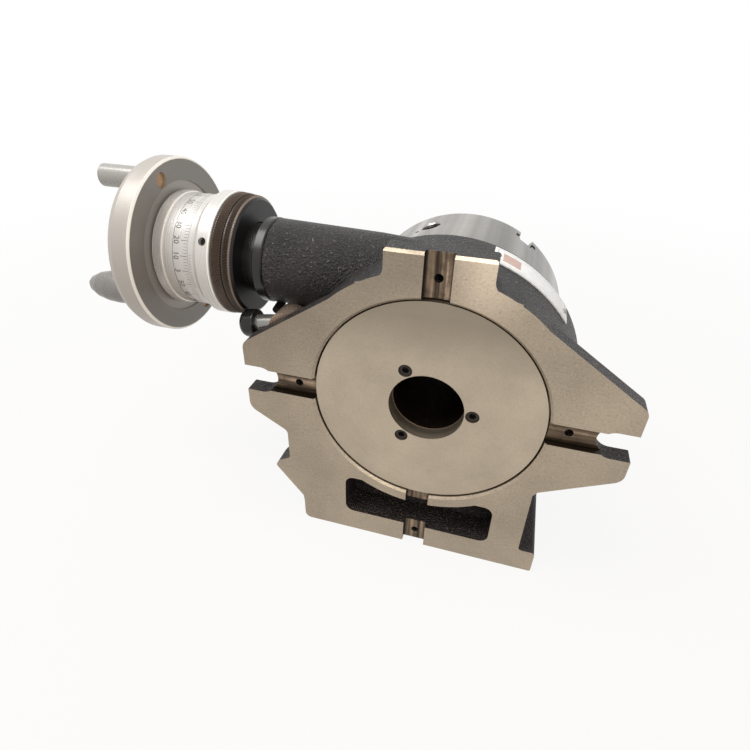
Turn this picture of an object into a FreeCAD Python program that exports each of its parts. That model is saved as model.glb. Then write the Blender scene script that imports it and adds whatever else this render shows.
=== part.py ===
import FreeCAD, Part
import math
import os

# Worm-driven dividing head with a three-jaw chuck, standing on its foot.
# Origin: on the spindle axis, in the ground back face.  +Y points from the back face to the
# chuck, +Z is up and +X is away from the handwheel.  Millimetres.

V = FreeCAD.Vector
X, Y = V(1, 0, 0), V(0, 1, 0)

# ---- fits and small clearances -------------------------------------------------------------
run_fit = 0.04            # radial running clearance of shafts and sleeves
seat_gap = 0.3            # ordinary gap between parts of different bodies
face_gap = 0.05           # axial play at a thrust face
screw_clear = 0.3         # radial clearance round a screw shank or head
seat_fit = 0.02           # radial clearance of a piece seated in another of its own body
over = 1.0                # how far a cutting shape runs past the face it leaves
through = 400.0           # length of a cut that runs right through the whole head

# ---- socket screws: head radius, head height, shank radius, shank length, half key width ------
rear_screw = (4.1, 5.0, 2.5, 18.0, 2.0)
wheel_screw = (4.2, 4.0, 2.0, 18.0, 1.8)
chuck_screw = (6.5, 8.0, 4.0, 12.0, 3.0)
cover_screw = (5.0, 5.0, 3.0, 14.0, 2.5)
screw_sink = 1.0          # depth of a screw head below its face

# ---- base casting --------------------------------------------------------------------------
centre_height = 125.0     # spindle axis above the foot
tab_top = 101.0           # top of the upper tab above the spindle axis
tab_half = 30.2
tab_fillet = 9.0
tab_depth = 14.0
tab_root = (46.0, 79.5)   # where the tab's flank runs out on the drum (x, z)
tab_neck = 83.4           # height of the tab's concave corner
edge_round = 1.5
edge_chamfer = 1.6
drum_r = 91.0
drum_depth = 66.0
neck_r = 85.0             # stepped front neck of the drum
neck_step = 3.0           # length of each step in front of the drum
base_depth = 76.0         # back face to the front rim of the base
wing_tip = 122.3          # half span over the bolting lugs
wing_thick = 12.0
wing_top = (61.5, 66.9)   # where the wing leaves the drum (x, z)
wing_shoulder = 26.6
wing_lower = -25.0
wing_root = (74.7, -49.4)
side_x = 74.7             # right side wall of the lower body
body_top = -40.0          # height at which the lower body runs into the drum
wing_run = -60.0          # height at which the wings run into the lower body
left_x = 95.6             # left side wall of the lower body
foot_half = 86.3
foot_flange = 19.0
foot_depth = 62.0
ear_tip = (107.6, -75.5)
ear_thick = 15.0
ear_bottom = -108.0
groove_half = 8.0         # 16 mm key grooves
groove_depth = 5.0
slot_half = 9.8
slot_centre = 111.3       # centre of the round inner end of the lug slots
key_hole_pitch = 86.0
key_hole_foot = 116.0
key_hole_r = 2.6
key_hole_depth = 10.0     # depth of the tapped holes below the groove floor
pocket_half = 52.8
pocket_bottom = 106.0
pocket_top = 72.0
pocket_arc = 82.5
pocket_depth = 22.0
pocket_corner = 6.5
hub_outer = 47.0
hub_front = 43.7
cavity_back = 30.0
cavity_r = 76.5

# ---- rear disc and spindle -----------------------------------------------------------------
disc_r = 73.0
disc_sink = 2.2
disc_thick = 10.6
disc_bore = 24.1
disc_clear = 1.2          # radial gap round the rear disc
rear_bore_chamfer = 1.5
rear_screw_pitch = 29.1   # each pitch here is the radius of a circle of holes
rear_screw_count = 3
spindle_bore = 23.6
journal_r = 34.0
wheel_seat_r = 38.0
shoulder_r = 48.0
shoulder_y = 60.0
flange_r = 79.0
flange_thick = 12.0
flange_bevel = 1.0
clamp_groove = 6.0        # groove in the flange rim, at its chuck side
clamp_groove_r = 71.0
wheel_screw_pitch = 43.0
wheel_screw_count = 6
chuck_screw_pitch = 56.0
register_r = 40.0
register_height = 4.0

# ---- worm and wheel ------------------------------------------------------------------------
wheel_teeth = 90
module = 1.25
worm_ref_r = 8.75
addendum = 1.0
dedendum = 1.35
pressure_angle = 20.0
flank_relief = 0.25       # each flank of wheel and worm is thinned by half of this
wheel_base_lift = 0.25    # the flanks of a wheel tooth are straight down from just above its root
wheel_web = (4.0, 1.0)    # the wheel's web lies this far inside the root circle: at its edges, at its middle
thread_root_sink = 0.1    # the thread starts this far inside the worm's core
wheel_y = 51.6
wheel_rim = 11.0
wheel_width = 15.0
worm_length = 28.0
worm_steps = 16           # straight pieces in one turn of the thread
eccentricity = 2.4
sleeve_r = 17.0
sleeve_end = 30.0
sleeve_floor = 31.5
worm_room_r = 11.2
worm_room_half = 19.5
worm_journal_r = 6.0
sleeve_core_r = 10.9      # full ring left round each worm journal beside the wheel
sleeve_window = 33.0      # half length of the opening that clears the wheel
drop_angle = 70.0         # turn of the sleeve that lifts the worm out of mesh

# ---- worm-axis pieces, from the casting outwards (all x values are negative) ----------------
tube_end = 115.0
tube_end_r = 27.7
tube_bevel = 0.8
tube_waist = (45.0, 25.9) # the cast tube narrows towards the drum (distance out, radius)
tube_root = (8.0, 23.5)
far_boss_r = 22.0         # boss inside the drum round the closed end of the sleeve's bore
far_wall = 6.0
collar_start = 115.2
collar_end = 122.0
collar_r = 28.0
collar_bevel = 0.8
neck_end = 155.9          # outer end of the sleeve's neck, inside the vernier ring
sleeve_neck_r = 23.0
knurl_start = 131.0
knurl_end = 145.3
knurl_r = 40.0
knurl_small_r = 36.8
knurl_bevel = 1.8
knurl_groove = 0.8        # groove that parts the two bands of the knurled ring
vernier_end = 161.9
vernier_r = 41.2
vernier_cone = (9.0, 13.0)   # cone of the vernier ring, from its inner face
vernier_floor = 4.0
ring_lip = 3.0            # how far the vernier ring reaches in round the neck
dial_start = 162.2
dial_end = 188.0
dial_r = 37.5
dial_lip = 0.6            # the knurled band of the dial stands this far out
dial_band = 7.2           # its width
wheel_back = 188.4
handwheel_r = 59.4
handwheel_rim = 17.0
handwheel_hub_r = 18.0
wheel_recess = 0.8        # shallow recess in the back of the handwheel, out to the step ring
handwheel_front = 209.0
step_ring_r = 44.6
wheel_web_sink = 5.0      # the web lies this far below the front of the rim
rim_band = (5.0, 16.0, 20.0) # steps of the rim's front, inwards from the outer edge
handle_pitch = 49.6
handle_angle = 105.0      # first handle, seen from the handwheel side, from +Y towards +Z
peg_r = 7.2
peg_bevel = 0.8
stud_r = 5.0              # studs of both handles, in the wheel
stud_short = 1.5          # the studs end this far inside the back of the wheel
axle_r = 4.0              # axle of the revolving handle
axle_short = 22.0
peg_end = 231.5
grip_end = 296.5
grip_r = 12.8
grip_shape = ((0.0, 0.63), (0.033, 0.67), (0.3, 0.81), (0.55, 0.97), (0.66, 1.0), (0.76, 0.96),
              (0.86, 0.8), (0.94, 0.52), (0.985, 0.23))   # (share of its length, share of its radius)
shaft_front_r = 5.5
shaft_step = 2.0          # the thicker part of the shaft ends this far inside the dial
nut_r = 9.5
nut_height = 7.0
nut_washer_r = 11.5
nut_washer = 2.0
spring_washer_width = 9.0
worm_axis_key = 2.0       # half width of the handwheel key
wheel_key = (14.0, 2.0)   # reach of the key in front of and behind the back of the wheel
worm_washer = 2.0
worm_washer_r = 10.1
worm_collar_r = 8.4
shaft_front_end = 220.0

# ---- chuck ---------------------------------------------------------------------------------
chuck_r = 80.0
chuck_back = 88.4
chuck_front = 152.5
chuck_bore = 20.0
chuck_bevel = 1.5
jaw_angle = 57.0
jaw_count = 3
jaw_slot_floor = 134.0
jaw_neck_half = 5.7
jaw_guide_half = 9.2
jaw_guide_low = 138.0
jaw_guide_high = 143.5
jaw_clear = 0.15
jaw_tip = (1.2, 66.0, 40.0)  # half width of the jaw's point, half width it opens to, and length
jaw_inner = 3.0
jaw_length = 61.0
jaw_steps = ((19.0, 38.0), (20.0, 26.0), (22.0, 14.0))   # (length, height) from the centre out
scroll_pitch = 8.0
scroll_r = 62.0
scroll_bore = 26.0
scroll_steps = 24         # straight pieces in one turn of the spiral
scroll_thread = 3.4
scroll_thread_width = 3.2
scroll_back = 116.0
scroll_web_r = 50.0       # the pinions run behind the plate outside this radius
jaw_tooth = 3.3           # thickness of a jaw tooth between two turns of the spiral
jaw_tooth_curve = 45.0    # radius of the curve of the jaw teeth
pinion_offset = 52.5      # angle from a jaw to its pinion
pinion_y = 125.0
pinion_r = 7.0
pinion_clear = 0.05
pinion_sink = 2.0         # depth of the pinion's face below the rim
pinion_chamfer = 0.9
pinion_socket = 8.0
pinion_socket_depth = 12.0
pinion_inner = 52.0
pin_hole = (59.5, 119.0, 1.5, 4.0)   # pinion pin: angle from a jaw, y, radius, depth
cover_r = 66.0
cover_thick = 10.0
cover_lip = 4.0           # the cover reaches this far in behind the register
cover_screw_pitch = 72.0
cover_screw_offset = 15.0 # angle from a jaw to the nearest cover screw
cover_screw_count = 6
bolt_offset = 60.0        # angle from a jaw to the nearest chuck screw

# ---- clamp lever, nameplate and small parts ------------------------------------------------
clamp_x = -97.5
clamp_z = 33.5
clamp_hub_r = 11.4
clamp_hub = (13.5, 29.5)  # y range of the lever hub
lever_y = 22.5            # the lever's rod
clamp_stud_r = 4.5
clamp_boss_r = 11.0
clamp_boss_start = 40.0
clamp_rod_r = 5.9
clamp_rod_end = 23.8
clamp_rod_seat = 6.0      # length of the rod inside the knob
clamp_knob_r = 9.5
clamp_knob_length = 11.6
clamp_knob_round = 5.0
clamp_knob_lip = 1.2
clamp_drop = 9.0          # the lever slopes down by this angle
clamp_nut_r = 8.0
clamp_nut_height = 7.0
clamp_stud_out = 8.0      # the stud reaches this far past the dog
dog_width = 17.0
dog_lift = 4.0            # the dog's heel clears the step of the drum by this much
dog_finger = 5.4          # thickness of the finger that enters the flange groove
lock_x = -111.0
lock_angle = 193.0        # the lock screw leaves the underside of the tube this way, from +Y towards +Z
lock_from = (40.0, 39.2)  # point of its axis where it leaves the tube (y, z)
lock_stud_r = 2.6
lock_head_r = 3.1
lock_inside = 14.0        # length in the wall of the tube
lock_neck = 3.0           # plain length between the tube and the head
lock_length = 10.0        # length outside the tube
zero_plate_angle = 0.0
zero_plate_half = 6.0
zero_plate_thick = 2.0
zero_plate_y = (4.5, 3.0) # start past the drum's step, and end past the back of the flange
zero_screw_y = 7.0        # past the drum's step
zero_screw_spread = 0.6   # share of the plate's half angle
zero_screw_r = 1.5
zero_screw_sink = 6.0
zero_screw_length = 8.0
zero_screw_head = (2.6, 1.2)   # radius and height
plate_y = (36.0, 59.5)
plate_angles = (37.0, 74.0)
plate_thick = 0.8
plate_film = 0.05         # thin bed under the nameplate
rivet_r = 1.6
rivet_head = 0.5          # how much wider the rivet's head is than its shank
rivet_margin = 1.8        # angle between the plate's ends and the rivets
set_screw_r = 2.5
set_screw_sink = 3.0      # ends of the set screws below the ring's outside and above the neck
set_screw_angles = (151.0, 241.0)   # round the worm axis, from +Y towards +Z
set_screw_x = -150.3

# ---- places worked out from the sizes above ----------------------------------------------------
worm_z = wheel_teeth * module / 2 + worm_ref_r
worm_axis = (wheel_y, worm_z)
sleeve_axis = (wheel_y - eccentricity, worm_z)
shoulder_start = worm_length / 2 + 1.0
shoulder_end = worm_room_half - worm_washer - face_gap
disc_front = disc_sink + disc_thick
flange_back = base_depth + face_gap
flange_front = flange_back + flange_thick
scroll_face = jaw_slot_floor - 0.2
scroll_ceiling = scroll_face + scroll_thread + seat_gap
spiral_start = scroll_bore + scroll_thread_width


def rod(radius, start, direction, length):
    return Part.makeCylinder(radius, length, start, direction)


def polar(radius, degrees, y=0.0):
    """Point on a circle about the spindle axis; 0 degrees is +X, 90 is +Z."""
    angle = math.radians(degrees)
    return V(radius * math.cos(angle), y, radius * math.sin(angle))


def turned(points, about="y", centre=(0.0, 0.0)):
    """Solid of revolution from (position along the axis, radius) points."""
    if about == "y":
        corners = [V(radius, along, 0) for along, radius in points]
        base, axis = V(0, 0, 0), Y
    else:
        cy, cz = centre
        corners = [V(along, cy, cz + radius) for along, radius in points]
        base, axis = V(0, cy, cz), X
    face = Part.Face(Part.makePolygon(corners + corners[:1]))
    return face.revolve(base, axis, 360)


def rounded_face(points, plane_y=0.0):
    """Face in the XZ plane from (x, z, corner radius) points."""
    count = len(points)
    edges = []
    last = None
    first = None
    for i in range(count):
        x0, z0, _ = points[i - 1]
        x1, z1, radius = points[i]
        x2, z2, _ = points[(i + 1) % count]
        corner = V(x1, plane_y, z1)
        into = (V(x0, plane_y, z0) - corner).normalize()
        out = (V(x2, plane_y, z2) - corner).normalize()
        if radius > 0:
            half = math.acos(max(-1.0, min(1.0, into.dot(out)))) / 2
            reach = radius / math.tan(half)
            start = corner + into * reach
            end = corner + out * reach
            middle = corner + (into + out).normalize() * (radius / math.sin(half) - radius)
        else:
            start = end = corner
        if last is not None and (start - last).Length > 1e-6:
            edges.append(Part.makeLine(last, start))
        if radius > 0:
            edges.append(Part.Arc(start, middle, end).toShape())
        if first is None:
            first = start
        last = end
    if (first - last).Length > 1e-6:
        edges.append(Part.makeLine(last, first))
    return Part.Face(Part.Wire(edges))


def slab(points, y0, y1):
    return rounded_face(points, y0).extrude(V(0, y1 - y0, 0))


def block(x0, x1, y0, y1, z0, z1):
    return Part.makeBox(x1 - x0, y1 - y0, z1 - z0, V(x0, y0, z0))


def ring_of(shape, count, step=None):
    """Copies of a shape turned about the spindle axis, as one compound."""
    copies = []
    for i in range(count):
        item = shape.copy()
        item.rotate(V(0, 0, 0), Y, i * (360.0 / count if step is None else step))
        copies.append(item)
    return Part.makeCompound(copies)


def socket_screw(head_r, head_h, shank_r, shank_h, key_half):
    """Socket head screw, head top at the origin, shank along +Y."""
    head = rod(head_r, V(0, 0, 0), Y, head_h)
    shank = rod(shank_r, V(0, head_h, 0), Y, shank_h)
    key = [polar(key_half / math.cos(math.radians(30)), 60 * i) for i in range(6)]
    socket = Part.Face(Part.makePolygon(key + key[:1])).extrude(V(0, head_h * 0.6, 0))
    return head.fuse(shank).cut(socket)


# ---- base ------------------------------------------------------------------------------------
def wing_outline():
    tx, tz = wing_top
    rx, rz = wing_root
    right = [(tx, tz, 0), (wing_tip, wing_shoulder, 6), (wing_tip, wing_lower, 8), (rx, rz, 3.5)]
    left = [(-left_x, -40.5, 5), (-wing_tip, wing_lower, 8), (-wing_tip, wing_shoulder, 8), (-tx, tz, 0)]
    return right + [(rx, wing_run, 0), (-left_x, wing_run, 0)] + left


def lower_outline():
    foot_top = foot_flange - centre_height
    return [(side_x, body_top, 0), (side_x, foot_top, 2.5), (foot_half, foot_top, 3),
            (foot_half, -centre_height, 1.5), (-foot_half, -centre_height, 5),
            (-foot_half, foot_top, 2.5), (-side_x, foot_top, 0), (-side_x, body_top, 0)]


def ear_outline():
    ex, ez = ear_tip
    low = ear_bottom
    return [(-side_x, body_top, 0), (-side_x, low, 0), (-foot_half, low, 0), (-foot_half - 0.6, low + 6.0, 4),
            (-ex, ez, 3), (-ex + 3.5, ez + 5.0, 1.5), (-left_x, ez + 9.5, 4), (-left_x, body_top, 0)]


def tab_outline():
    rx, rz = tab_root
    return [(tab_half, tab_top, edge_round), (tab_half, tab_neck, tab_fillet), (rx, rz, 0), (rx, rz / 2, 0),
            (-rx, rz / 2, 0), (-rx, rz, 0), (-tab_half, tab_neck, tab_fillet),
            (-tab_half, tab_top, edge_round)]


def key_grooves():
    half, depth = groove_half, groove_depth
    deep = depth + key_hole_depth
    side = block(-wing_tip - over, wing_tip + over, -over, depth, -half, half)
    upright = block(-half, half, -over, depth, -centre_height - over, tab_top + over)
    holes = [rod(key_hole_r, V(x, 0, 0), Y, deep) for x in (-key_hole_pitch, key_hole_pitch)]
    holes += [rod(key_hole_r, V(0, 0, z), Y, deep) for z in (key_hole_pitch, -key_hole_foot)]
    return [side, upright] + holes


def lug_slots():
    cuts = []
    for sign in (-1, 1):
        end = rod(slot_half, V(sign * slot_centre, -over, 0), Y, wing_thick + 2 * over)
        run = sorted((sign * slot_centre, sign * (wing_tip + over)))
        cuts += [end, block(run[0], run[1], -over, wing_thick + over, -slot_half, slot_half)]
    return cuts


def back_pocket():
    box = slab([(pocket_half, -pocket_top, pocket_corner), (pocket_half, -pocket_bottom, pocket_corner),
                (-pocket_half, -pocket_bottom, pocket_corner), (-pocket_half, -pocket_top, pocket_corner)],
               -over, pocket_depth)
    return box.cut(rod(pocket_arc, V(0, -2 * over, 0), Y, pocket_depth + 4 * over))


def front_pocket():
    box = back_pocket()
    return box.mirror(V(0, 0, 0), Y).translated(V(0, foot_depth, 0))


def base_casting():
    drum = turned([(0, 0), (0, drum_r), (drum_depth - neck_step, drum_r), (drum_depth, drum_r - edge_round),
                   (drum_depth + neck_step, neck_r), (base_depth, neck_r), (base_depth, 0)])
    waist, waist_r = tube_waist
    root, root_r = tube_root
    tube = turned([(-tube_end, 0), (-tube_end, tube_end_r - tube_bevel), (-tube_end + tube_bevel, tube_end_r),
                   (-waist, waist_r), (-root, root_r), (-root, 0)], "x", sleeve_axis)
    far_end = sleeve_floor + far_wall
    far_boss = rod(far_boss_r, V(-root, *sleeve_axis), X, far_end + root)
    boss = rod(clamp_boss_r, V(clamp_x, clamp_boss_start, clamp_z), Y, drum_depth - clamp_boss_start)
    boss_web = block(clamp_x, wing_run, clamp_boss_start + 6, drum_depth - 2, clamp_z - clamp_boss_r, clamp_z)
    body = drum.fuse([slab(wing_outline(), 0, wing_thick), slab(tab_outline(), 0, tab_depth),
                      slab(lower_outline(), 0, foot_depth), slab(ear_outline(), 0, ear_thick),
                      tube, boss, boss_web])
    far_boss = far_boss.common(rod(drum_r, V(0, 0, 0), Y, base_depth))
    body = body.fuse(far_boss)
    low, high, side = tab_top - edge_chamfer, tab_top + over, tab_root[0]
    bevel = [V(-side, -0.01, low), V(-side, -0.01, high), V(-side, edge_chamfer + over, high)]
    chamfer = Part.Face(Part.makePolygon(bevel + bevel[:1])).extrude(V(2 * side, 0, 0))
    bore = disc_r + disc_clear
    inside = turned([(-over, 0), (-over, bore + rear_bore_chamfer + over), (rear_bore_chamfer, bore),
                     (disc_front + face_gap, bore), (disc_front + face_gap, journal_r + run_fit),
                     (hub_front, journal_r + run_fit),
                     (hub_front, hub_outer), (cavity_back, hub_outer), (cavity_back, cavity_r),
                     (base_depth + over, cavity_r), (base_depth + over, 0)])
    bore_start = -tube_end - over
    sleeve_bore = rod(sleeve_r + run_fit, V(bore_start, *sleeve_axis), X, sleeve_floor - bore_start)
    stud = rod(clamp_stud_r + run_fit, V(clamp_x, clamp_boss_start - over, clamp_z), Y, base_depth)
    lock = rod(lock_stud_r + seat_fit, lock_point(-lock_inside), lock_direction(), lock_inside + lock_length)
    lock_seat = rod(lock_head_r + screw_clear, lock_point(lock_neck), lock_direction(), lock_length)
    index_holes = [rod(zero_screw_r, spot, out, zero_screw_sink + over) for spot, out in zero_screw_roots()]
    cuts = [chamfer, inside, sleeve_bore, stud, lock, lock_seat, back_pocket(), front_pocket()]
    return body.cut(cuts + index_holes + key_grooves() + lug_slots())


def lock_direction():
    angle = math.radians(lock_angle)
    return V(0, math.cos(angle), math.sin(angle))


def lock_point(along):
    return V(lock_x, *lock_from) + lock_direction() * along


def sleeve_lock_screw():
    """Screw set along the wall of the tube, so that it pinches the sleeve."""
    shank = rod(lock_stud_r, lock_point(seat_gap - lock_inside), lock_direction(), lock_inside + lock_neck)
    head = rod(lock_head_r, lock_point(lock_neck), lock_direction(), lock_length - lock_neck)
    return shank.fuse(head)


def wedge(start, end):
    """Pie slice about the spindle axis, wide enough to pick a sector of the drum."""
    reach = 2 * drum_r
    corners = [V(0, 0, 0), polar(reach, start), polar(reach, end), V(0, 0, 0)]
    return Part.Face(Part.makePolygon(corners)).extrude(V(0, reach, 0))


def nameplate():
    y0, y1 = plate_y
    a0, a1 = plate_angles
    low, high = drum_r + plate_film, drum_r + plate_thick
    shell = turned([(y0, low), (y0, high), (y1, high), (y1, low)])
    middle = (y0 + y1) / 2
    plate = shell.common(wedge(a0, a1))
    holes = [rod(rivet_r, polar(drum_r - over, a, middle), polar(1, a), 3 * over) for a in rivet_angles()]
    return plate.cut(holes)


def rivet_angles():
    a0, a1 = plate_angles
    return (a0 + rivet_margin, a1 - rivet_margin)


def nameplate_rivets():
    middle = sum(plate_y) / 2
    rivets = []
    for a in rivet_angles():
        out = polar(1, a)
        shank = rod(rivet_r - seat_fit, polar(drum_r + plate_film, a, middle), out, plate_thick - plate_film)
        head = Part.makeSphere(rivet_r + rivet_head, polar(drum_r, a, middle))
        outside = rod(2 * rivet_r, polar(drum_r + plate_thick, a, middle), out, 2 * rivet_r)
        rivets.append(shank.fuse(head.common(outside)))
    return Part.makeCompound(rivets)


def zero_plate():
    """Small index plate on the drum neck, beside the degree scale of the flange."""
    y0, y1 = drum_depth + zero_plate_y[0], flange_back + zero_plate_y[1]
    outer = neck_r + zero_plate_thick
    shell = turned([(y0, neck_r), (y0, outer), (y1, outer), (y1, neck_r)])
    half = zero_plate_half
    plate = shell.common(wedge(zero_plate_angle - half, zero_plate_angle + half))
    deep = 2 * zero_screw_length
    return plate.cut([rod(zero_screw_r, spot, out, deep) for spot, out in zero_screw_roots()])


def zero_screw_roots():
    """Inner end and direction of each screw of the index plate."""
    spread = zero_plate_half * zero_screw_spread
    roots = []
    for a in (zero_plate_angle - spread, zero_plate_angle + spread):
        roots.append((polar(neck_r - zero_screw_sink, a, drum_depth + zero_screw_y), polar(1, a)))
    return roots


def zero_plate_screws():
    head_r, head_h = zero_screw_head
    screws = []
    for spot, out in zero_screw_roots():
        head = rod(head_r, spot + out * zero_screw_length, out, head_h)
        screws.append(rod(zero_screw_r, spot, out, zero_screw_length).fuse(head))
    return Part.makeCompound(screws)


# ---- spindle group ---------------------------------------------------------------------------
def spindle():
    body = turned([(disc_front, spindle_bore), (disc_front, journal_r), (hub_front + face_gap, journal_r),
                   (hub_front + face_gap, wheel_seat_r), (shoulder_y, wheel_seat_r), (shoulder_y, shoulder_r),
                   (flange_back, shoulder_r), (flange_back, flange_r - flange_bevel),
                   (flange_back + flange_bevel, flange_r),
                   (flange_front - clamp_groove, flange_r), (flange_front - clamp_groove, clamp_groove_r),
                   (flange_front, clamp_groove_r), (flange_front, register_r),
                   (flange_front + register_height, register_r),
                   (flange_front + register_height, spindle_bore)])
    rear_at = polar(rear_screw_pitch, 0, disc_front - over)
    rear_holes = ring_of(rod(rear_screw[2], rear_at, Y, rear_screw[3]), rear_screw_count)
    chuck_at = polar(chuck_screw_pitch, jaw_angle + bolt_offset, flange_back - over)
    chuck_holes = ring_of(rod(chuck_screw[2] + screw_clear, chuck_at, Y, 2 * flange_thick), jaw_count)
    heads = ring_of(rod(chuck_screw[0] + screw_clear, chuck_at, Y, over + chuck_screw[1]), jaw_count)
    wheel_at = polar(wheel_screw_pitch, 0, shoulder_y - over)
    wheel_holes = ring_of(rod(wheel_screw[2], wheel_at, Y, wheel_screw[3] - 6.0), wheel_screw_count)
    return body.cut([rear_holes, chuck_holes, heads, wheel_holes])


def rear_disc():
    bore = rod(disc_bore, V(0, 0, 0), Y, disc_front + over)
    body = rod(disc_r, V(0, disc_sink, 0), Y, disc_thick).cut(bore)
    head_depth = over + screw_sink + rear_screw[1]
    head = rod(rear_screw[0] + screw_clear, polar(rear_screw_pitch, 0, disc_sink - over), Y, head_depth)
    hole = rod(rear_screw[2] + screw_clear, polar(rear_screw_pitch, 0, disc_sink), Y, disc_thick + over)
    return body.cut([ring_of(head, rear_screw_count), ring_of(hole, rear_screw_count)])


def rear_disc_screws():
    screw = socket_screw(*rear_screw)
    screw.translate(polar(rear_screw_pitch, 0, disc_sink + screw_sink))
    return ring_of(screw, rear_screw_count)


def flank_angle(radius, thin):
    """Half angle of a wheel tooth at a radius, in radians."""
    alpha = math.radians(pressure_angle)
    ref = wheel_teeth * module / 2
    base = ref * math.cos(alpha)
    here = math.acos(base / radius)
    half = math.pi / (2 * wheel_teeth) + (math.tan(alpha) - alpha) - (math.tan(here) - here)
    return half - thin / ref


def worm_wheel():
    ref = wheel_teeth * module / 2
    root, tip = ref - dedendum, ref + addendum
    low = flank_angle(root + wheel_base_lift, flank_relief / 2)
    high = flank_angle(tip, flank_relief / 2)
    pitch = 2 * math.pi / wheel_teeth
    twist = wheel_rim / 2 * lead_slope() / ref
    rings = []
    for side in (-1, 1):
        points = []
        for i in range(wheel_teeth):
            middle = math.pi / 2 + i * pitch + side * twist
            for offset, radius in ((-low, root), (-high, tip), (high, tip), (low, root)):
                points.append(V(radius * math.cos(middle + offset), wheel_y + side * wheel_rim / 2,
                                radius * math.sin(middle + offset)))
        rings.append(Part.makePolygon(points + points[:1]))
    rim = Part.makeLoft(rings, True, True)
    y0, y1 = wheel_y - wheel_width / 2, shoulder_y
    edge, crown = wheel_web
    hub = turned([(y0, wheel_seat_r), (y0, root - edge), (wheel_y, root - crown), (y1, root - edge),
                  (y1, wheel_seat_r)])
    body = rim.fuse(hub).cut(rod(wheel_seat_r, V(0, 0, 0), Y, through))
    screw_at = polar(wheel_screw_pitch, 0, y0 - over)
    holes = ring_of(rod(wheel_screw[2] + screw_clear, screw_at, Y, through), wheel_screw_count)
    head_depth = over + screw_sink + wheel_screw[1]
    heads = ring_of(rod(wheel_screw[0] + screw_clear, screw_at, Y, head_depth), wheel_screw_count)
    return body.cut([holes, heads])


def lead_slope():
    return module / (2 * worm_ref_r)


def worm_wheel_screws():
    screw = socket_screw(*wheel_screw)
    screw.translate(polar(wheel_screw_pitch, 0, wheel_y - wheel_width / 2 + screw_sink))
    return ring_of(screw, wheel_screw_count)


# ---- chuck -----------------------------------------------------------------------------------
def jaw_slot():
    """Cut for one jaw, along +X."""
    neck = block(0, chuck_r + over, jaw_slot_floor, chuck_front + over, -jaw_neck_half, jaw_neck_half)
    guide = block(0, chuck_r + over, jaw_guide_low, jaw_guide_high, -jaw_guide_half, jaw_guide_half)
    return neck.fuse(guide)


def chuck_body():
    cover_front = chuck_back + cover_thick
    inside = scroll_bore - seat_gap
    room = scroll_r + over
    body = turned([(chuck_back, cover_r), (chuck_back, chuck_r - over), (chuck_back + over, chuck_r),
                   (chuck_front - chuck_bevel, chuck_r), (chuck_front, chuck_r - chuck_bevel),
                   (chuck_front, chuck_bore + over), (chuck_front - over, chuck_bore),
                   (cover_front + over / 2, chuck_bore), (cover_front + over / 2, inside),
                   (scroll_ceiling, inside), (scroll_ceiling, room), (cover_front, room),
                   (cover_front, cover_r)])
    slot = jaw_slot()
    slot.rotate(V(0, 0, 0), Y, -jaw_angle)
    pinion = pinion_hole()
    pinion.rotate(V(0, 0, 0), Y, -jaw_angle - pinion_offset)
    angle, pin_y, pin_r, pin_depth = pin_hole
    pin = rod(pin_r, V(chuck_r - pin_depth, pin_y, 0), X, pin_depth + over)
    pin.rotate(V(0, 0, 0), Y, -jaw_angle - angle)
    return body.cut([ring_of(item, jaw_count) for item in (slot, pinion, pin)] + [cover_holes()])


def pinion_hole():
    """Cut for one pinion along +X, with a chamfer where it leaves the rim."""
    radius, flare = pinion_r + pinion_clear, pinion_chamfer + over
    hole = rod(radius, V(pinion_inner - over, pinion_y, 0), X, chuck_r)
    rim = V(chuck_r - pinion_chamfer, pinion_y, 0)
    return hole.fuse(Part.makeCone(radius, radius + flare, flare, rim, X))


def cover_holes():
    at = polar(cover_screw_pitch, jaw_angle + cover_screw_offset, chuck_back - over)
    shank = rod(cover_screw[2], at, Y, over + cover_screw[1] + cover_screw[3] + over)
    head = rod(cover_screw[0] + screw_clear, at, Y, over + screw_sink / 2 + cover_screw[1])
    return ring_of(shank.fuse(head), cover_screw_count)


def chuck_cover():
    front = chuck_back + cover_thick
    seat, inner = chuck_back + register_height, register_r - cover_lip
    body = turned([(chuck_back, register_r + seat_fit), (chuck_back, cover_r), (front, cover_r),
                   (front, inner), (seat, inner), (seat, register_r + seat_fit)])
    screw_at = polar(chuck_screw_pitch, jaw_angle + bolt_offset, chuck_back - over)
    return body.cut(ring_of(rod(chuck_screw[2], screw_at, Y, 2 * cover_thick), jaw_count))


def cover_screws():
    screw = socket_screw(*cover_screw)
    screw.translate(polar(cover_screw_pitch, jaw_angle + cover_screw_offset, chuck_back + screw_sink / 2))
    return ring_of(screw, cover_screw_count)


def chuck_screws():
    screw = socket_screw(*chuck_screw)
    screw.translate(polar(chuck_screw_pitch, jaw_angle + bolt_offset, flange_back))
    return ring_of(screw, jaw_count)


def scroll_plate():
    """Flat spiral thread on a plate; one turn moves each jaw by one pitch."""
    rim_back = pinion_y + pinion_r + seat_gap
    plate = turned([(scroll_back, scroll_bore), (scroll_back, scroll_web_r), (rim_back, scroll_web_r),
                    (rim_back, scroll_r), (scroll_face, scroll_r), (scroll_face, scroll_bore)])
    steps = scroll_steps
    count = int((scroll_r - scroll_bore - 2 * scroll_thread_width) / scroll_pitch * steps)
    inner, outer = [], []
    for i in range(count + 1):
        angle = i * 360.0 / steps + jaw_angle
        radius = spiral_start + scroll_pitch * i / steps
        inner.append(polar(radius - scroll_thread_width / 2, angle, scroll_face))
        outer.append(polar(radius + scroll_thread_width / 2, angle, scroll_face))
    outline = inner + outer[::-1]
    thread = Part.Face(Part.makePolygon(outline + outline[:1])).extrude(V(0, scroll_thread, 0))
    return plate.fuse(thread)


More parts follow.
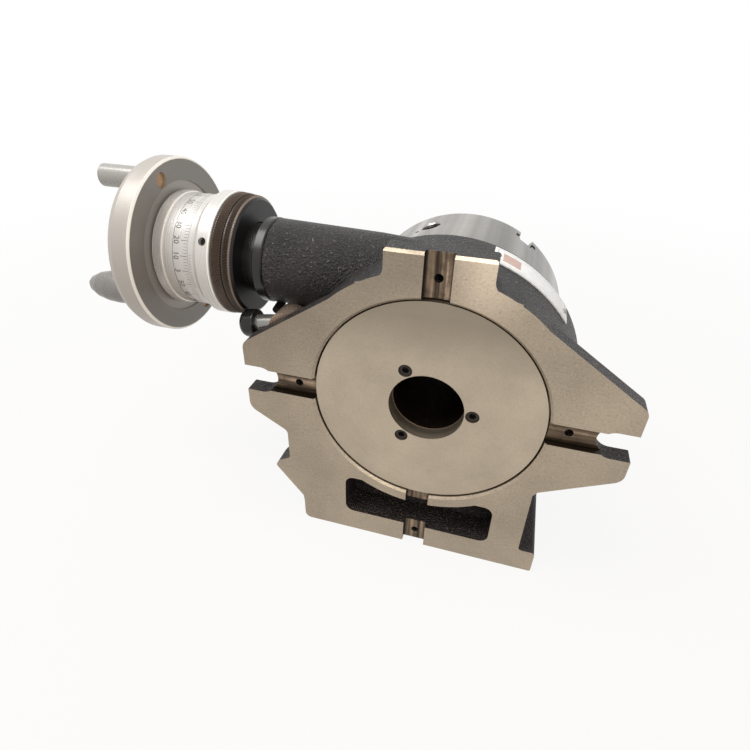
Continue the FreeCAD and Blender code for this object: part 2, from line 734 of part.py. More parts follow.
def jaw_teeth(index):
    """Curved teeth under a jaw, midway between the turns of the spiral at its place."""
    half = jaw_neck_half - jaw_clear
    low, high = scroll_face + 0.4, scroll_ceiling + jaw_clear
    outer, inner = jaw_tooth_curve + jaw_tooth / 2, jaw_tooth_curve - jaw_tooth / 2
    first = spiral_start + scroll_pitch * (0.5 + index / float(jaw_count))
    teeth = []
    for n in range(-6, 7):
        middle = first + n * scroll_pitch
        if jaw_inner + 4 < middle < jaw_inner + jaw_length - jaw_tooth:
            spot = V(middle - jaw_tooth_curve, low, 0)
            tooth = rod(outer, spot, Y, high - low).cut(rod(inner, spot, Y, high - low))
            teeth.append(tooth.common(block(middle - 4, middle + 4, low, high, -half, half)))
    return teeth


def jaw(index):
    """One stepped jaw, built along +X in its slot and turned to its place."""
    clear = jaw_clear
    neck = block(jaw_inner, jaw_inner + jaw_length, scroll_ceiling + clear, chuck_front + 1,
                 -jaw_neck_half + clear, jaw_neck_half - clear)
    guide = block(jaw_inner, jaw_inner + jaw_length, jaw_guide_low + clear, jaw_guide_high - clear,
                  -jaw_guide_half + clear, jaw_guide_half - clear)
    body = neck.fuse([guide] + jaw_teeth(index))
    start = jaw_inner
    for length, height in jaw_steps:
        body = body.fuse(block(start, start + length, chuck_front + seat_gap, chuck_front + height,
                               -jaw_guide_half + clear, jaw_guide_half - clear))
        start += length
    tip, open_half, length = jaw_tip
    back = V(jaw_inner, chuck_back, 0)
    corners = [back + V(0, 0, -tip), back + V(0, 0, tip), back + V(length, 0, open_half),
               back + V(length, 0, -open_half)]
    point = Part.Face(Part.makePolygon(corners + corners[:1])).extrude(V(0, chuck_r * 2, 0))
    tail = block(jaw_inner + length - over, chuck_r, chuck_back, chuck_r * 3, -open_half, open_half)
    body = body.common(point.fuse(tail))
    body.rotate(V(0, 0, 0), Y, -jaw_angle - index * 360.0 / jaw_count)
    return body


def chuck_pinion(index):
    """Scroll pinion with a square key socket, along +X, flush inside the chuck rim."""
    outer = chuck_r - pinion_sink
    body = rod(pinion_r, V(pinion_inner, pinion_y, 0), X, outer - pinion_inner)
    half = pinion_socket / 2
    socket = block(outer - pinion_socket_depth, outer + over, pinion_y - half, pinion_y + half, -half, half)
    body = body.cut(socket)
    body.rotate(V(0, 0, 0), Y, -jaw_angle - pinion_offset - index * 360.0 / jaw_count)
    return body


# ---- worm group ------------------------------------------------------------------------------
def eccentric_sleeve():
    bevel = collar_bevel
    outer = turned([(-neck_end, 0), (-neck_end, sleeve_neck_r), (-collar_end, sleeve_neck_r),
                    (-collar_end, collar_r - bevel), (-collar_end + bevel, collar_r),
                    (-collar_start - bevel, collar_r), (-collar_start, collar_r - bevel),
                    (-collar_start, sleeve_r), (sleeve_end, sleeve_r), (sleeve_end, 0)], "x", sleeve_axis)
    bore = rod(worm_journal_r + run_fit, V(-through / 2, *worm_axis), X, through)
    room = rod(worm_room_r, V(-worm_room_half, *worm_axis), X, 2 * worm_room_half)
    nose = rod(handwheel_hub_r + 0.4, V(-vernier_end, *worm_axis), X, 12)
    middle, wide = sleeve_axis[0], 2 * sleeve_r
    window = block(-sleeve_window, sleeve_window, middle - wide, middle + wide, worm_z - wide, worm_z)
    window.rotate(V(0, *sleeve_axis), X, -drop_angle / 2)
    for x in (-sleeve_window, worm_room_half):
        window = window.cut(rod(sleeve_core_r, V(x, *sleeve_axis), X, sleeve_window - worm_room_half))
    return outer.cut([bore, room, nose, window])


def knurled_ring():
    mid = (knurl_start + knurl_end) / 2
    small = knurl_small_r
    groove = knurl_groove
    profile = [(-knurl_start, sleeve_neck_r), (-knurl_start, small),
               (-knurl_start - knurl_bevel, knurl_r - 1.5 * groove),
               (-mid + groove / 2, knurl_r - groove), (-mid, knurl_r - 2 * groove),
               (-mid - groove / 2, knurl_r - groove), (-knurl_end + groove, knurl_r),
               (-knurl_end, knurl_r - groove), (-knurl_end, sleeve_neck_r)]
    return turned(profile, "x", worm_axis).cut(sleeve_neck())


def sleeve_neck():
    return rod(sleeve_neck_r, V(-vernier_end - over, *sleeve_axis), X, vernier_end)


def vernier_ring():
    start, bevel, floor = knurl_end, over / 2, vernier_floor - vernier_end
    cone, foot = vernier_cone
    inner, hub = sleeve_neck_r - ring_lip, handwheel_hub_r + 2 * over
    profile = [(-start, inner), (-start, vernier_r - bevel), (-start - bevel, vernier_r),
               (-start - cone, vernier_r), (-start - foot, dial_r + dial_lip),
               (-vernier_end, dial_r + seat_gap), (-vernier_end, hub), (floor, hub), (floor, inner)]
    body = turned(profile, "x", worm_axis).cut(sleeve_neck())
    hole_r = set_screw_r + 0.1
    reach = vernier_r - handwheel_hub_r
    holes = [rod(hole_r, ring_hole(a, handwheel_hub_r), ring_hole_out(a), reach) for a in set_screw_angles]
    return body.cut(holes)


def ring_hole_out(degrees):
    angle = math.radians(degrees)
    return V(0, math.cos(angle), math.sin(angle))


def ring_hole(degrees, radius):
    return V(set_screw_x, *worm_axis) + ring_hole_out(degrees) * radius


def vernier_set_screws():
    length = vernier_r - sleeve_neck_r - 2 * set_screw_sink
    screws = []
    for a in set_screw_angles:
        start = ring_hole(a, sleeve_neck_r + set_screw_sink)
        screws.append(rod(set_screw_r, start, ring_hole_out(a), length))
    return Part.makeCompound(screws)


def worm_shaft():
    bevel, step, tail = collar_bevel, dial_start - shaft_step, sleeve_end - shaft_step
    shaft = turned([(-shaft_front_end, 0), (-shaft_front_end, shaft_front_r - bevel),
                    (-shaft_front_end + bevel, shaft_front_r), (-step, shaft_front_r),
                    (-step, worm_journal_r), (-shoulder_end, worm_journal_r),
                    (-shoulder_end, worm_collar_r), (-shoulder_start, worm_collar_r),
                    (-shoulder_start, worm_ref_r - dedendum), (shoulder_start, worm_ref_r - dedendum),
                    (shoulder_start, worm_collar_r), (shoulder_end, worm_collar_r),
                    (shoulder_end, worm_journal_r), (tail, worm_journal_r), (tail, 0)],
                   "x", worm_axis)
    return shaft.fuse(worm_thread()).cut(key_block(worm_axis_key))


def worm_thrust_washers():
    washers = []
    for x in (-worm_room_half, worm_room_half - worm_washer):
        ring = rod(worm_washer_r, V(x, *worm_axis), X, worm_washer)
        washers.append(ring.cut(rod(worm_journal_r + run_fit, V(x, *worm_axis), X, worm_washer)))
    return Part.makeCompound(washers)


def worm_thread():
    """Right-hand trapezoidal thread as ruled bands between helices."""
    pitch = math.pi * module
    turns = 2 * int(worm_length / pitch / 2) + 1
    steps = worm_steps
    slope = math.tan(math.radians(pressure_angle))
    tip, root = worm_ref_r + addendum, worm_ref_r - dedendum - thread_root_sink
    half_ref = pitch / 4 - flank_relief / 2
    half_tip = half_ref - addendum * slope
    half_root = half_ref + (worm_ref_r - root) * slope
    start = -turns / 2.0 * pitch
    corners = ((-half_root, root), (-half_tip, tip), (half_tip, tip), (half_root, root))
    sections = []
    for i in range(turns * steps + 1):
        angle = 2 * math.pi * i / steps
        centre = start + pitch * i / steps
        down, side = -math.cos(angle), math.sin(angle)
        ring = [V(centre + dx, wheel_y + r * side, worm_z + r * down) for dx, r in corners]
        sections.append(ring)
    faces = []
    for a, b in zip(sections, sections[1:]):
        for j in range(4):
            k = (j + 1) % 4
            faces.append(Part.Face(Part.makePolygon([a[j], a[k], b[k], a[j]])))
            faces.append(Part.Face(Part.makePolygon([a[j], b[k], b[j], a[j]])))
    for ring in (sections[0], sections[-1]):
        faces.append(Part.Face(Part.makePolygon(ring + ring[:1])))
    solid = Part.Solid(Part.Shell(faces))
    return solid if solid.Volume > 0 else solid.reversed()


def graduated_dial():
    edge, outer, band = seat_gap, dial_r + dial_lip, dial_end - dial_band
    bore, recess = handwheel_hub_r + run_fit, handwheel_hub_r + over
    profile = [(-dial_start, recess), (-dial_start, dial_r - edge), (-dial_start - edge, dial_r),
               (-band, dial_r), (-band - edge, outer), (-dial_end + edge, outer),
               (-dial_end, dial_r), (-dial_end, bore),
               (-dial_start - 2 * over, bore), (-dial_start - 2 * over, recess)]
    return turned(profile, "x", worm_axis)


def handle_spot(turn, x):
    angle = math.radians(handle_angle + turn)
    return V(x, wheel_y + handle_pitch * math.cos(angle), worm_z + handle_pitch * math.sin(angle))


def handwheel():
    back, rim = -wheel_back, -wheel_back - handwheel_rim
    web, bevel = rim + wheel_web_sink, 1.2
    corner, band, slope = rim_band
    profile = [(back, step_ring_r), (back, handwheel_r - bevel), (back - bevel, handwheel_r),
               (rim + corner, handwheel_r), (rim + edge_round, handwheel_r - edge_round),
               (rim, handwheel_r - corner), (rim, handwheel_r - band), (web, handwheel_r - slope),
               (web, handwheel_hub_r + wheel_web_sink), (rim - over / 2, handwheel_hub_r),
               (-handwheel_front + over, handwheel_hub_r - 2 * over),
               (-handwheel_front, handwheel_hub_r - 3 * over), (-handwheel_front, shaft_front_r + seat_fit),
               (-dial_start + over, shaft_front_r + seat_fit), (-dial_start + over, handwheel_hub_r),
               (back - wheel_recess, handwheel_hub_r), (back - wheel_recess, step_ring_r)]
    body = turned(profile, "x", worm_axis)
    cuts = []
    for turn in (0, 180):
        cuts.append(rod(stud_r, handle_spot(turn, rim - over), X, handwheel_rim + 2 * over))
    return body.cut(cuts + [key_block(worm_axis_key + seat_fit)])


def key_block(half):
    """Key between the worm shaft and the handwheel hub, on the -Y side."""
    y1 = wheel_y - shaft_front_r + worm_axis_key
    x0, x1 = -wheel_back - wheel_key[0], -wheel_back + wheel_key[1]
    return block(x0, x1, y1 - 2 * worm_axis_key, y1, worm_z - half, worm_z + half)


def handwheel_key():
    return key_block(worm_axis_key)


def dial_spring_washer():
    """Wavy friction washer that holds the dial against its zero setting."""
    back = -wheel_back - wheel_recess
    inner, outer = handwheel_hub_r + 0.1, handwheel_hub_r + spring_washer_width
    return turned([(back, inner), (back, outer), (-dial_end, outer), (-dial_end, inner)], "x", worm_axis)


def handwheel_nut():
    corners = []
    for i in range(6):
        spot = polar(nut_r, 60 * i)
        corners.append(V(-handwheel_front - nut_washer, wheel_y + spot.x, worm_z + spot.z))
    hexagon = Part.Face(Part.makePolygon(corners + corners[:1])).extrude(V(-nut_height, 0, 0))
    washer = rod(nut_washer_r, V(-handwheel_front, *worm_axis), V(-1, 0, 0), nut_washer)
    return hexagon.fuse(washer).cut(rod(shaft_front_r + seat_fit, V(-through, *worm_axis), X, through))


def plain_handle():
    """Short fixed handle with its stud through the wheel."""
    front = -wheel_back - handwheel_rim
    stud = rod(stud_r, handle_spot(0, front), X, handwheel_rim - stud_short)
    grip = rod(peg_r, handle_spot(0, -peg_end + peg_bevel), X, peg_end - peg_bevel + front)
    end = Part.makeCone(peg_r - peg_bevel, peg_r, peg_bevel, handle_spot(0, -peg_end), X)
    return stud.fuse([grip, end])


def grip_stud():
    front = -wheel_back - handwheel_rim
    stud = rod(stud_r, handle_spot(180, front), X, handwheel_rim - stud_short)
    axle = rod(axle_r, handle_spot(180, -grip_end + axle_short), X, grip_end - axle_short + front)
    return stud.fuse(axle)


def revolving_handle():
    """Bullet-shaped revolving grip."""
    front = wheel_back + handwheel_rim + seat_gap
    length = grip_end - front
    profile = [(-front, axle_r + run_fit)]
    for share, swell in grip_shape:
        profile.append((-front - share * length, grip_r * swell))
    floor = axle_short - over
    profile += [(-grip_end, 0), (-grip_end + floor, 0), (-grip_end + floor, axle_r + run_fit)]
    spot = handle_spot(180, 0)
    return turned(profile, "x", (spot.y, spot.z))


# ---- clamp -----------------------------------------------------------------------------------
def clamp_stud():
    """Turned by the lever; it draws the dog against the flange through its nut."""
    start, end = clamp_hub[0], dog_front() + clamp_stud_out
    return rod(clamp_stud_r, V(clamp_x, start, clamp_z), Y, end - start)


def dog_front():
    return flange_front - 0.4


def clamp_dog():
    """Dog on the stud; its finger enters the groove in the flange rim."""
    reach = math.hypot(clamp_x, clamp_z)
    half = dog_width / 2
    y0, y1 = drum_depth, dog_front()
    heel = block(neck_r + over / 2, reach + half, y0 + dog_lift, y1, -half, half)
    finger = block(clamp_groove_r + edge_round, neck_r + over, y1 - dog_finger, y1, -half, half)
    foot = rod(half, V(reach, y0, 0), Y, y1 - y0)
    hole = rod(clamp_stud_r + screw_clear, V(reach, y0 - over, 0), Y, y1 - y0 + 2 * over)
    dog = heel.fuse([finger, foot]).cut(hole)
    dog.rotate(V(0, 0, 0), Y, -math.degrees(math.atan2(clamp_z, clamp_x)))
    return dog


def clamp_nut():
    y0 = dog_front()
    corners = [polar(clamp_nut_r, 60 * i) + V(clamp_x, y0, clamp_z) for i in range(6)]
    nut = Part.Face(Part.makePolygon(corners + corners[:1])).extrude(V(0, clamp_nut_height, 0))
    hole = rod(clamp_stud_r + run_fit, V(clamp_x, y0 - over, clamp_z), Y, clamp_nut_height + 2 * over)
    return nut.cut(hole)


def lever_direction():
    angle = math.radians(180 + clamp_drop)
    return V(math.cos(angle), 0, math.sin(angle))


def lever_point(along):
    """Point on the axis of the lever's rod, at a distance from the clamp stud."""
    return V(clamp_x, lever_y, clamp_z) + lever_direction() * along


def clamp_lever():
    y0, y1 = clamp_hub
    hub = rod(clamp_hub_r, V(clamp_x, y0, clamp_z), Y, y1 - y0)
    arm = rod(clamp_rod_r, lever_point(0), lever_direction(), clamp_rod_end + clamp_rod_seat)
    hole = rod(clamp_stud_r, V(clamp_x, y0 - over, clamp_z), Y, y1 - y0 + 2 * over)
    return hub.fuse(arm).cut(hole)


def clamp_knob():
    """Short round knob with a domed outer end."""
    body = rod(clamp_knob_r, lever_point(clamp_rod_end), lever_direction(), clamp_knob_length)
    ends = []
    for edge in body.Edges:
        if len(edge.Vertexes) == 1:
            ends.append((edge.CenterOfMass.distanceToPoint(lever_point(0)), edge))
    ends.sort(key=lambda item: item[0])
    body = body.makeFillet(clamp_knob_round, [ends[-1][1]])
    rims = [edge for edge in body.Edges
            if edge.CenterOfMass.distanceToPoint(lever_point(clamp_rod_end)) < clamp_knob_lip]
    body = body.makeFillet(clamp_knob_lip, rims)
    hole = rod(clamp_rod_r, lever_point(clamp_rod_end - over), lever_direction(), over + clamp_rod_seat)
    return body.cut(hole)


def build():
    parts = {
        "base_casting": base_casting(),
        "sleeve_lock_screw": sleeve_lock_screw(),
        "nameplate": nameplate(),
        "nameplate_rivets": nameplate_rivets(),
        "spindle": spindle(),
        "rear_disc": rear_disc(),
        "rear_disc_screws": rear_disc_screws(),
        "worm_wheel": worm_wheel(),
        "worm_wheel_screws": worm_wheel_screws(),
        "chuck_body": chuck_body(),
        "chuck_cover": chuck_cover(),
        "chuck_screws": chuck_screws(),
        "scroll_plate": scroll_plate(),
        "eccentric_sleeve": eccentric_sleeve(),
        "knurled_ring": knurled_ring(),
        "vernier_ring": vernier_ring(),
        "vernier_set_screws": vernier_set_screws(),
        "worm_shaft": worm_shaft(),
        "graduated_dial": graduated_dial(),
        "handwheel": handwheel(),
        "handwheel_nut": handwheel_nut(),
        "plain_handle": plain_handle(),
        "grip_stud": grip_stud(),
        "revolving_handle": revolving_handle(),
        "clamp_stud": clamp_stud(),
        "clamp_dog": clamp_dog(),
        "clamp_nut": clamp_nut(),
        "handwheel_key": handwheel_key(),
        "dial_spring_washer": dial_spring_washer(),
        "worm_thrust_washers": worm_thrust_washers(),
        "cover_screws": cover_screws(),
        "zero_plate": zero_plate(),
        "zero_plate_screws": zero_plate_screws(),
        "clamp_lever": clamp_lever(),
        "clamp_knob": clamp_knob(),
    }
    for i in range(jaw_count):
        parts["jaw_%d" % (i + 1)] = jaw(i)
        parts["chuck_pinion_%d" % (i + 1)] = chuck_pinion(i)
    return parts


os.makedirs("parts", exist_ok=True)
for name, shape in build().items():
    shape.exportStep("parts/%s.step" % name)
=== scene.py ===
import math
import bmesh
import bpy
from mathutils import Matrix, Vector


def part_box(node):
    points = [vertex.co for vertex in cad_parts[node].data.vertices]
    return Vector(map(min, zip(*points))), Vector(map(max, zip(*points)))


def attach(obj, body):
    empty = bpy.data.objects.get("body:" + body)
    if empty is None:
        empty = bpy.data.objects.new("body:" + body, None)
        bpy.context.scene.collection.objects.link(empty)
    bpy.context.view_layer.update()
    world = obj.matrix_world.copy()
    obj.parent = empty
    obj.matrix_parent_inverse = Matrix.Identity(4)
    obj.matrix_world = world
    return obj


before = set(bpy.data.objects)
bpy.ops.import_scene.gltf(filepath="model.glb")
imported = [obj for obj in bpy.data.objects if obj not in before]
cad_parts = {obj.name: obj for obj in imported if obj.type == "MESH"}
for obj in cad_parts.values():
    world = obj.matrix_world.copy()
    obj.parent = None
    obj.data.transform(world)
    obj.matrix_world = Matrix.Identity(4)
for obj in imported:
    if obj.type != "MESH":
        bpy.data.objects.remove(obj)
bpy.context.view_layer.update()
scene = bpy.context.scene
MM = 0.001

# ---- places read from the frame -----------------------------------------------------------------
dial_low, dial_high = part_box("graduated_dial")
ring_low, ring_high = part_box("knurled_ring")
vernier_low, vernier_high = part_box("vernier_ring")
disc_low, disc_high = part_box("rear_disc")
base_low, base_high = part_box("base_casting")
_, chuck_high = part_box("chuck_body")
plate_low, plate_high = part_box("nameplate")
stud_low, stud_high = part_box("clamp_stud")
WORM_Y = (dial_low.y + dial_high.y) / 2
WORM_Z = (dial_low.z + dial_high.z) / 2
DIAL_GRIP_R = (dial_high.z - dial_low.z) / 2
DIAL_R = DIAL_GRIP_R - 0.6 * MM
DIAL_EDGE = dial_high.x
RING_R = (ring_high.z - ring_low.z) / 2
VERNIER_EDGE = vernier_low.x
FOOT = base_low.z
LEVER_HUB = ((stud_low.x + stud_high.x) / 2, (stud_low.z + stud_high.z) / 2)
WHEEL_BACK = dial_low.x - 0.4 * MM


# ---- small helpers -------------------------------------------------------------------------------
def new_object(name, mesh):
    thing = bpy.data.objects.new(name, mesh)
    scene.collection.objects.link(thing)
    return thing


def finished(thing, body, material=None):
    """Gives a piece its finish and the body it moves with."""
    if material:
        thing.data.materials.clear()
        thing.data.materials.append(material)
    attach(thing, body)
    return thing


class Finish:
    """A node material with short calls for the nodes used here."""

    def __init__(self, name):
        self.material = bpy.data.materials.new(name)
        self.material.use_nodes = True
        self.tree = self.material.node_tree
        self.tree.nodes.clear()
        self.out = self.tree.nodes.new("ShaderNodeOutputMaterial")
        self.place = self.tree.nodes.new("ShaderNodeTexCoord").outputs["Object"]

    def feed(self, socket, value):
        if isinstance(value, bpy.types.NodeSocket):
            self.tree.links.new(value, socket)
        elif isinstance(value, tuple) and socket.type == "RGBA" and len(value) == 3:
            socket.default_value = (*value, 1.0)
        else:
            socket.default_value = value

    def node(self, kind, settings=None, **inputs):
        made = self.tree.nodes.new(kind)
        for key, value in (settings or {}).items():
            setattr(made, key, value)
        for key, value in inputs.items():
            self.feed(made.inputs[key.replace("_", " ")], value)
        return made

    def math(self, operation, first, second=0.0, third=0.0, clamp=False):
        made = self.tree.nodes.new("ShaderNodeMath")
        made.operation = operation
        made.use_clamp = clamp
        for socket, value in zip(made.inputs, (first, second, third)):
            self.feed(socket, value)
        return made.outputs[0]

    def axes(self, centre=(0.0, 0.0, 0.0)):
        """Object coordinates measured from a centre, as three separate values."""
        moved = self.node("ShaderNodeVectorMath", {"operation": "SUBTRACT"})
        self.feed(moved.inputs[0], self.place)
        moved.inputs[1].default_value = centre
        split = self.node("ShaderNodeSeparateXYZ", Vector=moved.outputs[0])
        return split.outputs[0], split.outputs[1], split.outputs[2]

    def around(self, along, centre):
        """(position along the axis, radius, angle) about an X or Y axis through a centre."""
        x, y, z = self.axes(centre)
        first, second, length = (y, z, x) if along == "x" else (x, z, y)
        squares = self.math("ADD", self.math("MULTIPLY", first, first), self.math("MULTIPLY", second, second))
        return length, self.math("SQRT", squares), self.math("ARCTAN2", second, first)

    def point(self, x, y, z):
        return self.node("ShaderNodeCombineXYZ", X=x, Y=y, Z=z).outputs[0]

    def noise(self, scale, detail=3.0, roughness=0.55, vector=None, distortion=0.0):
        made = self.node("ShaderNodeTexNoise", Scale=scale, Detail=detail, Roughness=roughness,
                         Distortion=distortion)
        self.feed(made.inputs["Vector"], vector or self.place)
        return made.outputs["Fac"]

    def cells(self, scale, vector=None, feature="F1"):
        made = self.node("ShaderNodeTexVoronoi", {"feature": feature}, Scale=scale)
        self.feed(made.inputs["Vector"], vector or self.place)
        return made.outputs["Distance"]

    def span(self, value, low, high, to_low=0.0, to_high=1.0):
        made = self.node("ShaderNodeMapRange", {"clamp": True})
        self.feed(made.inputs["Value"], value)
        made.inputs["From Min"].default_value = low
        made.inputs["From Max"].default_value = high
        made.inputs["To Min"].default_value = to_low
        made.inputs["To Max"].default_value = to_high
        return made.outputs["Result"]

    def blend(self, share, first, second, mode="MIX"):
        made = self.node("ShaderNodeMix", {"data_type": "RGBA", "blend_type": mode})
        self.feed(made.inputs[0], share)
        self.feed(made.inputs[6], first)
        self.feed(made.inputs[7], second)
        return made.outputs[2]

    def bump(self, height, distance, strength=1.0, normal=None):
        made = self.node("ShaderNodeBump", Height=height, Distance=distance, Strength=strength)
        if normal:
            self.feed(made.inputs["Normal"], normal)
        return made.outputs[0]

    def surface(self, colour, roughness, metallic=0.0, normal=None, **extra):
        made = self.node("ShaderNodeBsdfPrincipled", Base_Color=colour, Roughness=roughness, Metallic=metallic)
        if normal:
            self.feed(made.inputs["Normal"], normal)
        for key, value in extra.items():
            self.feed(made.inputs[key.replace("_", " ")], value)
        return made.outputs[0]

    def done(self, shader):
        self.tree.links.new(shader, self.out.inputs["Surface"])
        return self.material


# ---- finishes ------------------------------------------------------------------------------------
WORM_CENTRE = (0.0, WORM_Y, WORM_Z)
SPINDLE_CENTRE = (0.0, 0.0, 0.0)
GROOVE_HALF = 8.0 * MM
GROOVE_DEPTH = 5.0 * MM
DISC_SEAT_R = (disc_high.x - disc_low.x) / 2 + 1.2 * MM


def darker(tint, share):
    return tuple(min(1.0, c * share) for c in tint)


def between(f, value, low, high, soft):
    """1 where a value lies between two limits, with soft edges."""
    rising = f.span(value, low - soft, low + soft)
    falling = f.span(value, high - soft, high + soft, 1.0, 0.0)
    return f.math("MULTIPLY", rising, falling)


def ground_iron(f, tint=(0.40, 0.33, 0.25), grain=(1.0, 1.0, 1.0), shade=None):
    """Ground cast iron: soft clouds, fine dark and light specks and a grinding grain."""
    clouds = f.noise(16.0, 3.0)
    specks = f.noise(700.0, 3.0, 0.8)
    stretched = f.node("ShaderNodeVectorMath", {"operation": "MULTIPLY"})
    f.feed(stretched.inputs[0], f.place)
    stretched.inputs[1].default_value = grain
    lines = f.noise(520.0, 3.0, 0.65, stretched.outputs[0])
    colour = f.blend(f.span(clouds, 0.30, 0.70), darker(tint, 0.84), darker(tint, 1.14))
    colour = f.blend(f.span(specks, 0.54, 0.70, 0.0, 0.60), colour, darker(tint, 0.42))
    colour = f.blend(f.span(specks, 0.44, 0.30, 0.0, 0.50), colour, darker(tint, 1.65))
    colour = f.blend(f.span(lines, 0.35, 0.65, 0.0, 0.14), colour, darker(tint, 0.55))
    # painted shade: a given shade mask darkens the colour by place on the part
    if shade:
        colour = f.blend(1.0, colour, f.blend(shade, (0.62, 0.62, 0.62), (1.0, 1.0, 1.0)), "MULTIPLY")
    rough = f.span(lines, 0.3, 0.7, 0.34, 0.50)
    return f.surface(colour, rough, 0.9, f.bump(lines, 0.00005, 0.6))


def wrinkle_paint(f):
    """Black crinkle enamel on the raw casting: pebbled, with painted highlight specks on the crests and a
    painted shade tint towards the bottom.
    """
    pebbles = f.cells(780.0, feature="SMOOTH_F1")
    lumps = f.noise(620.0, 4.0, 0.65, distortion=0.6)
    wide = f.noise(38.0, 3.0)
    height = f.math("ADD", f.math("MULTIPLY", lumps, 1.1), f.math("MULTIPLY", pebbles, 0.9))
    crest = f.span(lumps, 0.56, 0.70)
    fine = f.noise(900.0, 2.0, 0.7)
    # painted highlight: light grey specks on the crests stand in for tiny highlights
    painted_speck_highlight = f.math("MULTIPLY", crest, f.span(fine, 0.48, 0.66))
    colour = f.blend(f.span(wide, 0.35, 0.7), (0.011, 0.010, 0.010), (0.024, 0.021, 0.020))
    colour = f.blend(f.math("MULTIPLY", painted_speck_highlight, 0.9), colour, (0.42, 0.41, 0.40))
    # painted shade: towards the bottom the paint is tinted redder and darker
    painted_warm_shade = f.span(f.axes()[2], 0.085, 0.040, 0.0, 0.55)
    colour = f.blend(painted_warm_shade, colour, f.blend(1.0, colour, (1.0, 0.62, 0.48), "MULTIPLY"))
    normal = f.bump(height, 0.0016, 0.9)
    return f.surface(colour, f.span(lumps, 0.3, 0.7, 0.30, 0.55), 0.0, normal, Specular_IOR_Level=0.36)


def milled_groove(f, x, z):
    """Rough milled floor and walls of the key grooves: milling streaks along each groove, their lighter lines
    partly painted reflection, and painted shade along the walls.
    """
    upright = f.math("GREATER_THAN", f.math("ABSOLUTE", z), f.math("ABSOLUTE", x))
    tall = f.noise(1.0, 4.0, 0.6, f.point(f.math("MULTIPLY", x, 260.0), 3.0, f.math("MULTIPLY", z, 9.0)))
    wide = f.noise(1.0, 4.0, 0.6, f.point(f.math("MULTIPLY", x, 9.0), 7.0, f.math("MULTIPLY", z, 260.0)))
    run = f.math("ADD", f.math("MULTIPLY", upright, tall),
                 f.math("MULTIPLY", f.math("SUBTRACT", 1.0, upright), wide))
    off = f.math("MINIMUM", f.math("ABSOLUTE", x), f.math("ABSOLUTE", z))
    stain = f.noise(150.0, 3.0, 0.6)
    # milling streaks, with the lighter lines partly painted reflection
    colour = f.blend(f.span(run, 0.38, 0.60), (0.040, 0.027, 0.018), (0.30, 0.215, 0.145))
    colour = f.blend(f.span(run, 0.60, 0.72), colour, (0.62, 0.47, 0.34))
    colour = f.blend(f.span(stain, 0.45, 0.70, 0.0, 0.65), colour, (0.055, 0.040, 0.028))
    # painted shade: floor and walls darkened near the groove's walls
    colour = f.blend(f.span(off, GROOVE_HALF - 0.0022, GROOVE_HALF), colour, (0.030, 0.021, 0.015))
    return f.surface(colour, 0.38, 0.85, f.bump(run, 0.0003, 0.5))


def casting_finish():
    """Paint everywhere but on the ground back face, the foot, the key grooves and the bores."""
    f = Finish("casting")
    x, y, z = f.axes()
    paint = wrinkle_paint(f)
    # painted shade: the ground back face is darkened towards its upper left by position
    side = f.span(f.math("SUBTRACT", z, f.math("MULTIPLY", x, 0.8)), 0.070, 0.125, 1.0, 0.30)
    # painted highlight: a lighter, browner copy of the ground iron is mixed into the upper right of the back
    # face as a lamp's reflection
    painted_highlight_patch = f.math("MULTIPLY", between(f, x, 0.012, 0.040, 0.012), f.span(z, 0.062, 0.100))
    ground = ground_iron(f, grain=(0.25, 1.0, 2.0), shade=side)
    bright = ground_iron(f, (0.82, 0.67, 0.51), grain=(0.25, 1.0, 2.0))
    face = f.node("ShaderNodeMixShader", Fac=painted_highlight_patch)
    f.tree.links.new(ground, face.inputs[1])
    f.tree.links.new(bright, face.inputs[2])
    on_back = f.math("LESS_THAN", y, 0.0003)
    on_foot = f.math("LESS_THAN", z, FOOT + 0.0003)
    level = f.math("LESS_THAN", f.math("ABSOLUTE", z), GROOVE_HALF + 0.0001)
    upright = f.math("LESS_THAN", f.math("ABSOLUTE", x), GROOVE_HALF + 0.0001)
    shallow = f.math("LESS_THAN", y, GROOVE_DEPTH + 0.0002)
    groove = f.math("MULTIPLY", f.math("MAXIMUM", level, upright), shallow)
    at_top = f.math("GREATER_THAN", z, base_high.z - 1.8 * MM)
    top_bevel = f.math("MULTIPLY", at_top, f.math("LESS_THAN", y, 1.9 * MM))
    _, radius, _ = f.around("y", SPINDLE_CENTRE)
    bore = f.math("MULTIPLY", f.math("LESS_THAN", radius, DISC_SEAT_R + 0.0018),
                  f.math("LESS_THAN", y, disc_high.y + 0.002))
    bare = f.math("MAXIMUM", f.math("MAXIMUM", on_back, on_foot), f.math("MAXIMUM", top_bevel, bore))
    shade = f.node("ShaderNodeMixShader", Fac=bare)
    f.tree.links.new(paint, shade.inputs[1])
    f.tree.links.new(face.outputs[0], shade.inputs[2])
    deep = f.math("MULTIPLY", groove, f.math("GREATER_THAN", y, 0.0003))
    final = f.node("ShaderNodeMixShader", Fac=deep)
    f.tree.links.new(shade.outputs[0], final.inputs[1])
    f.tree.links.new(milled_groove(f, x, z), final.inputs[2])
    return f.done(final.outputs[0])


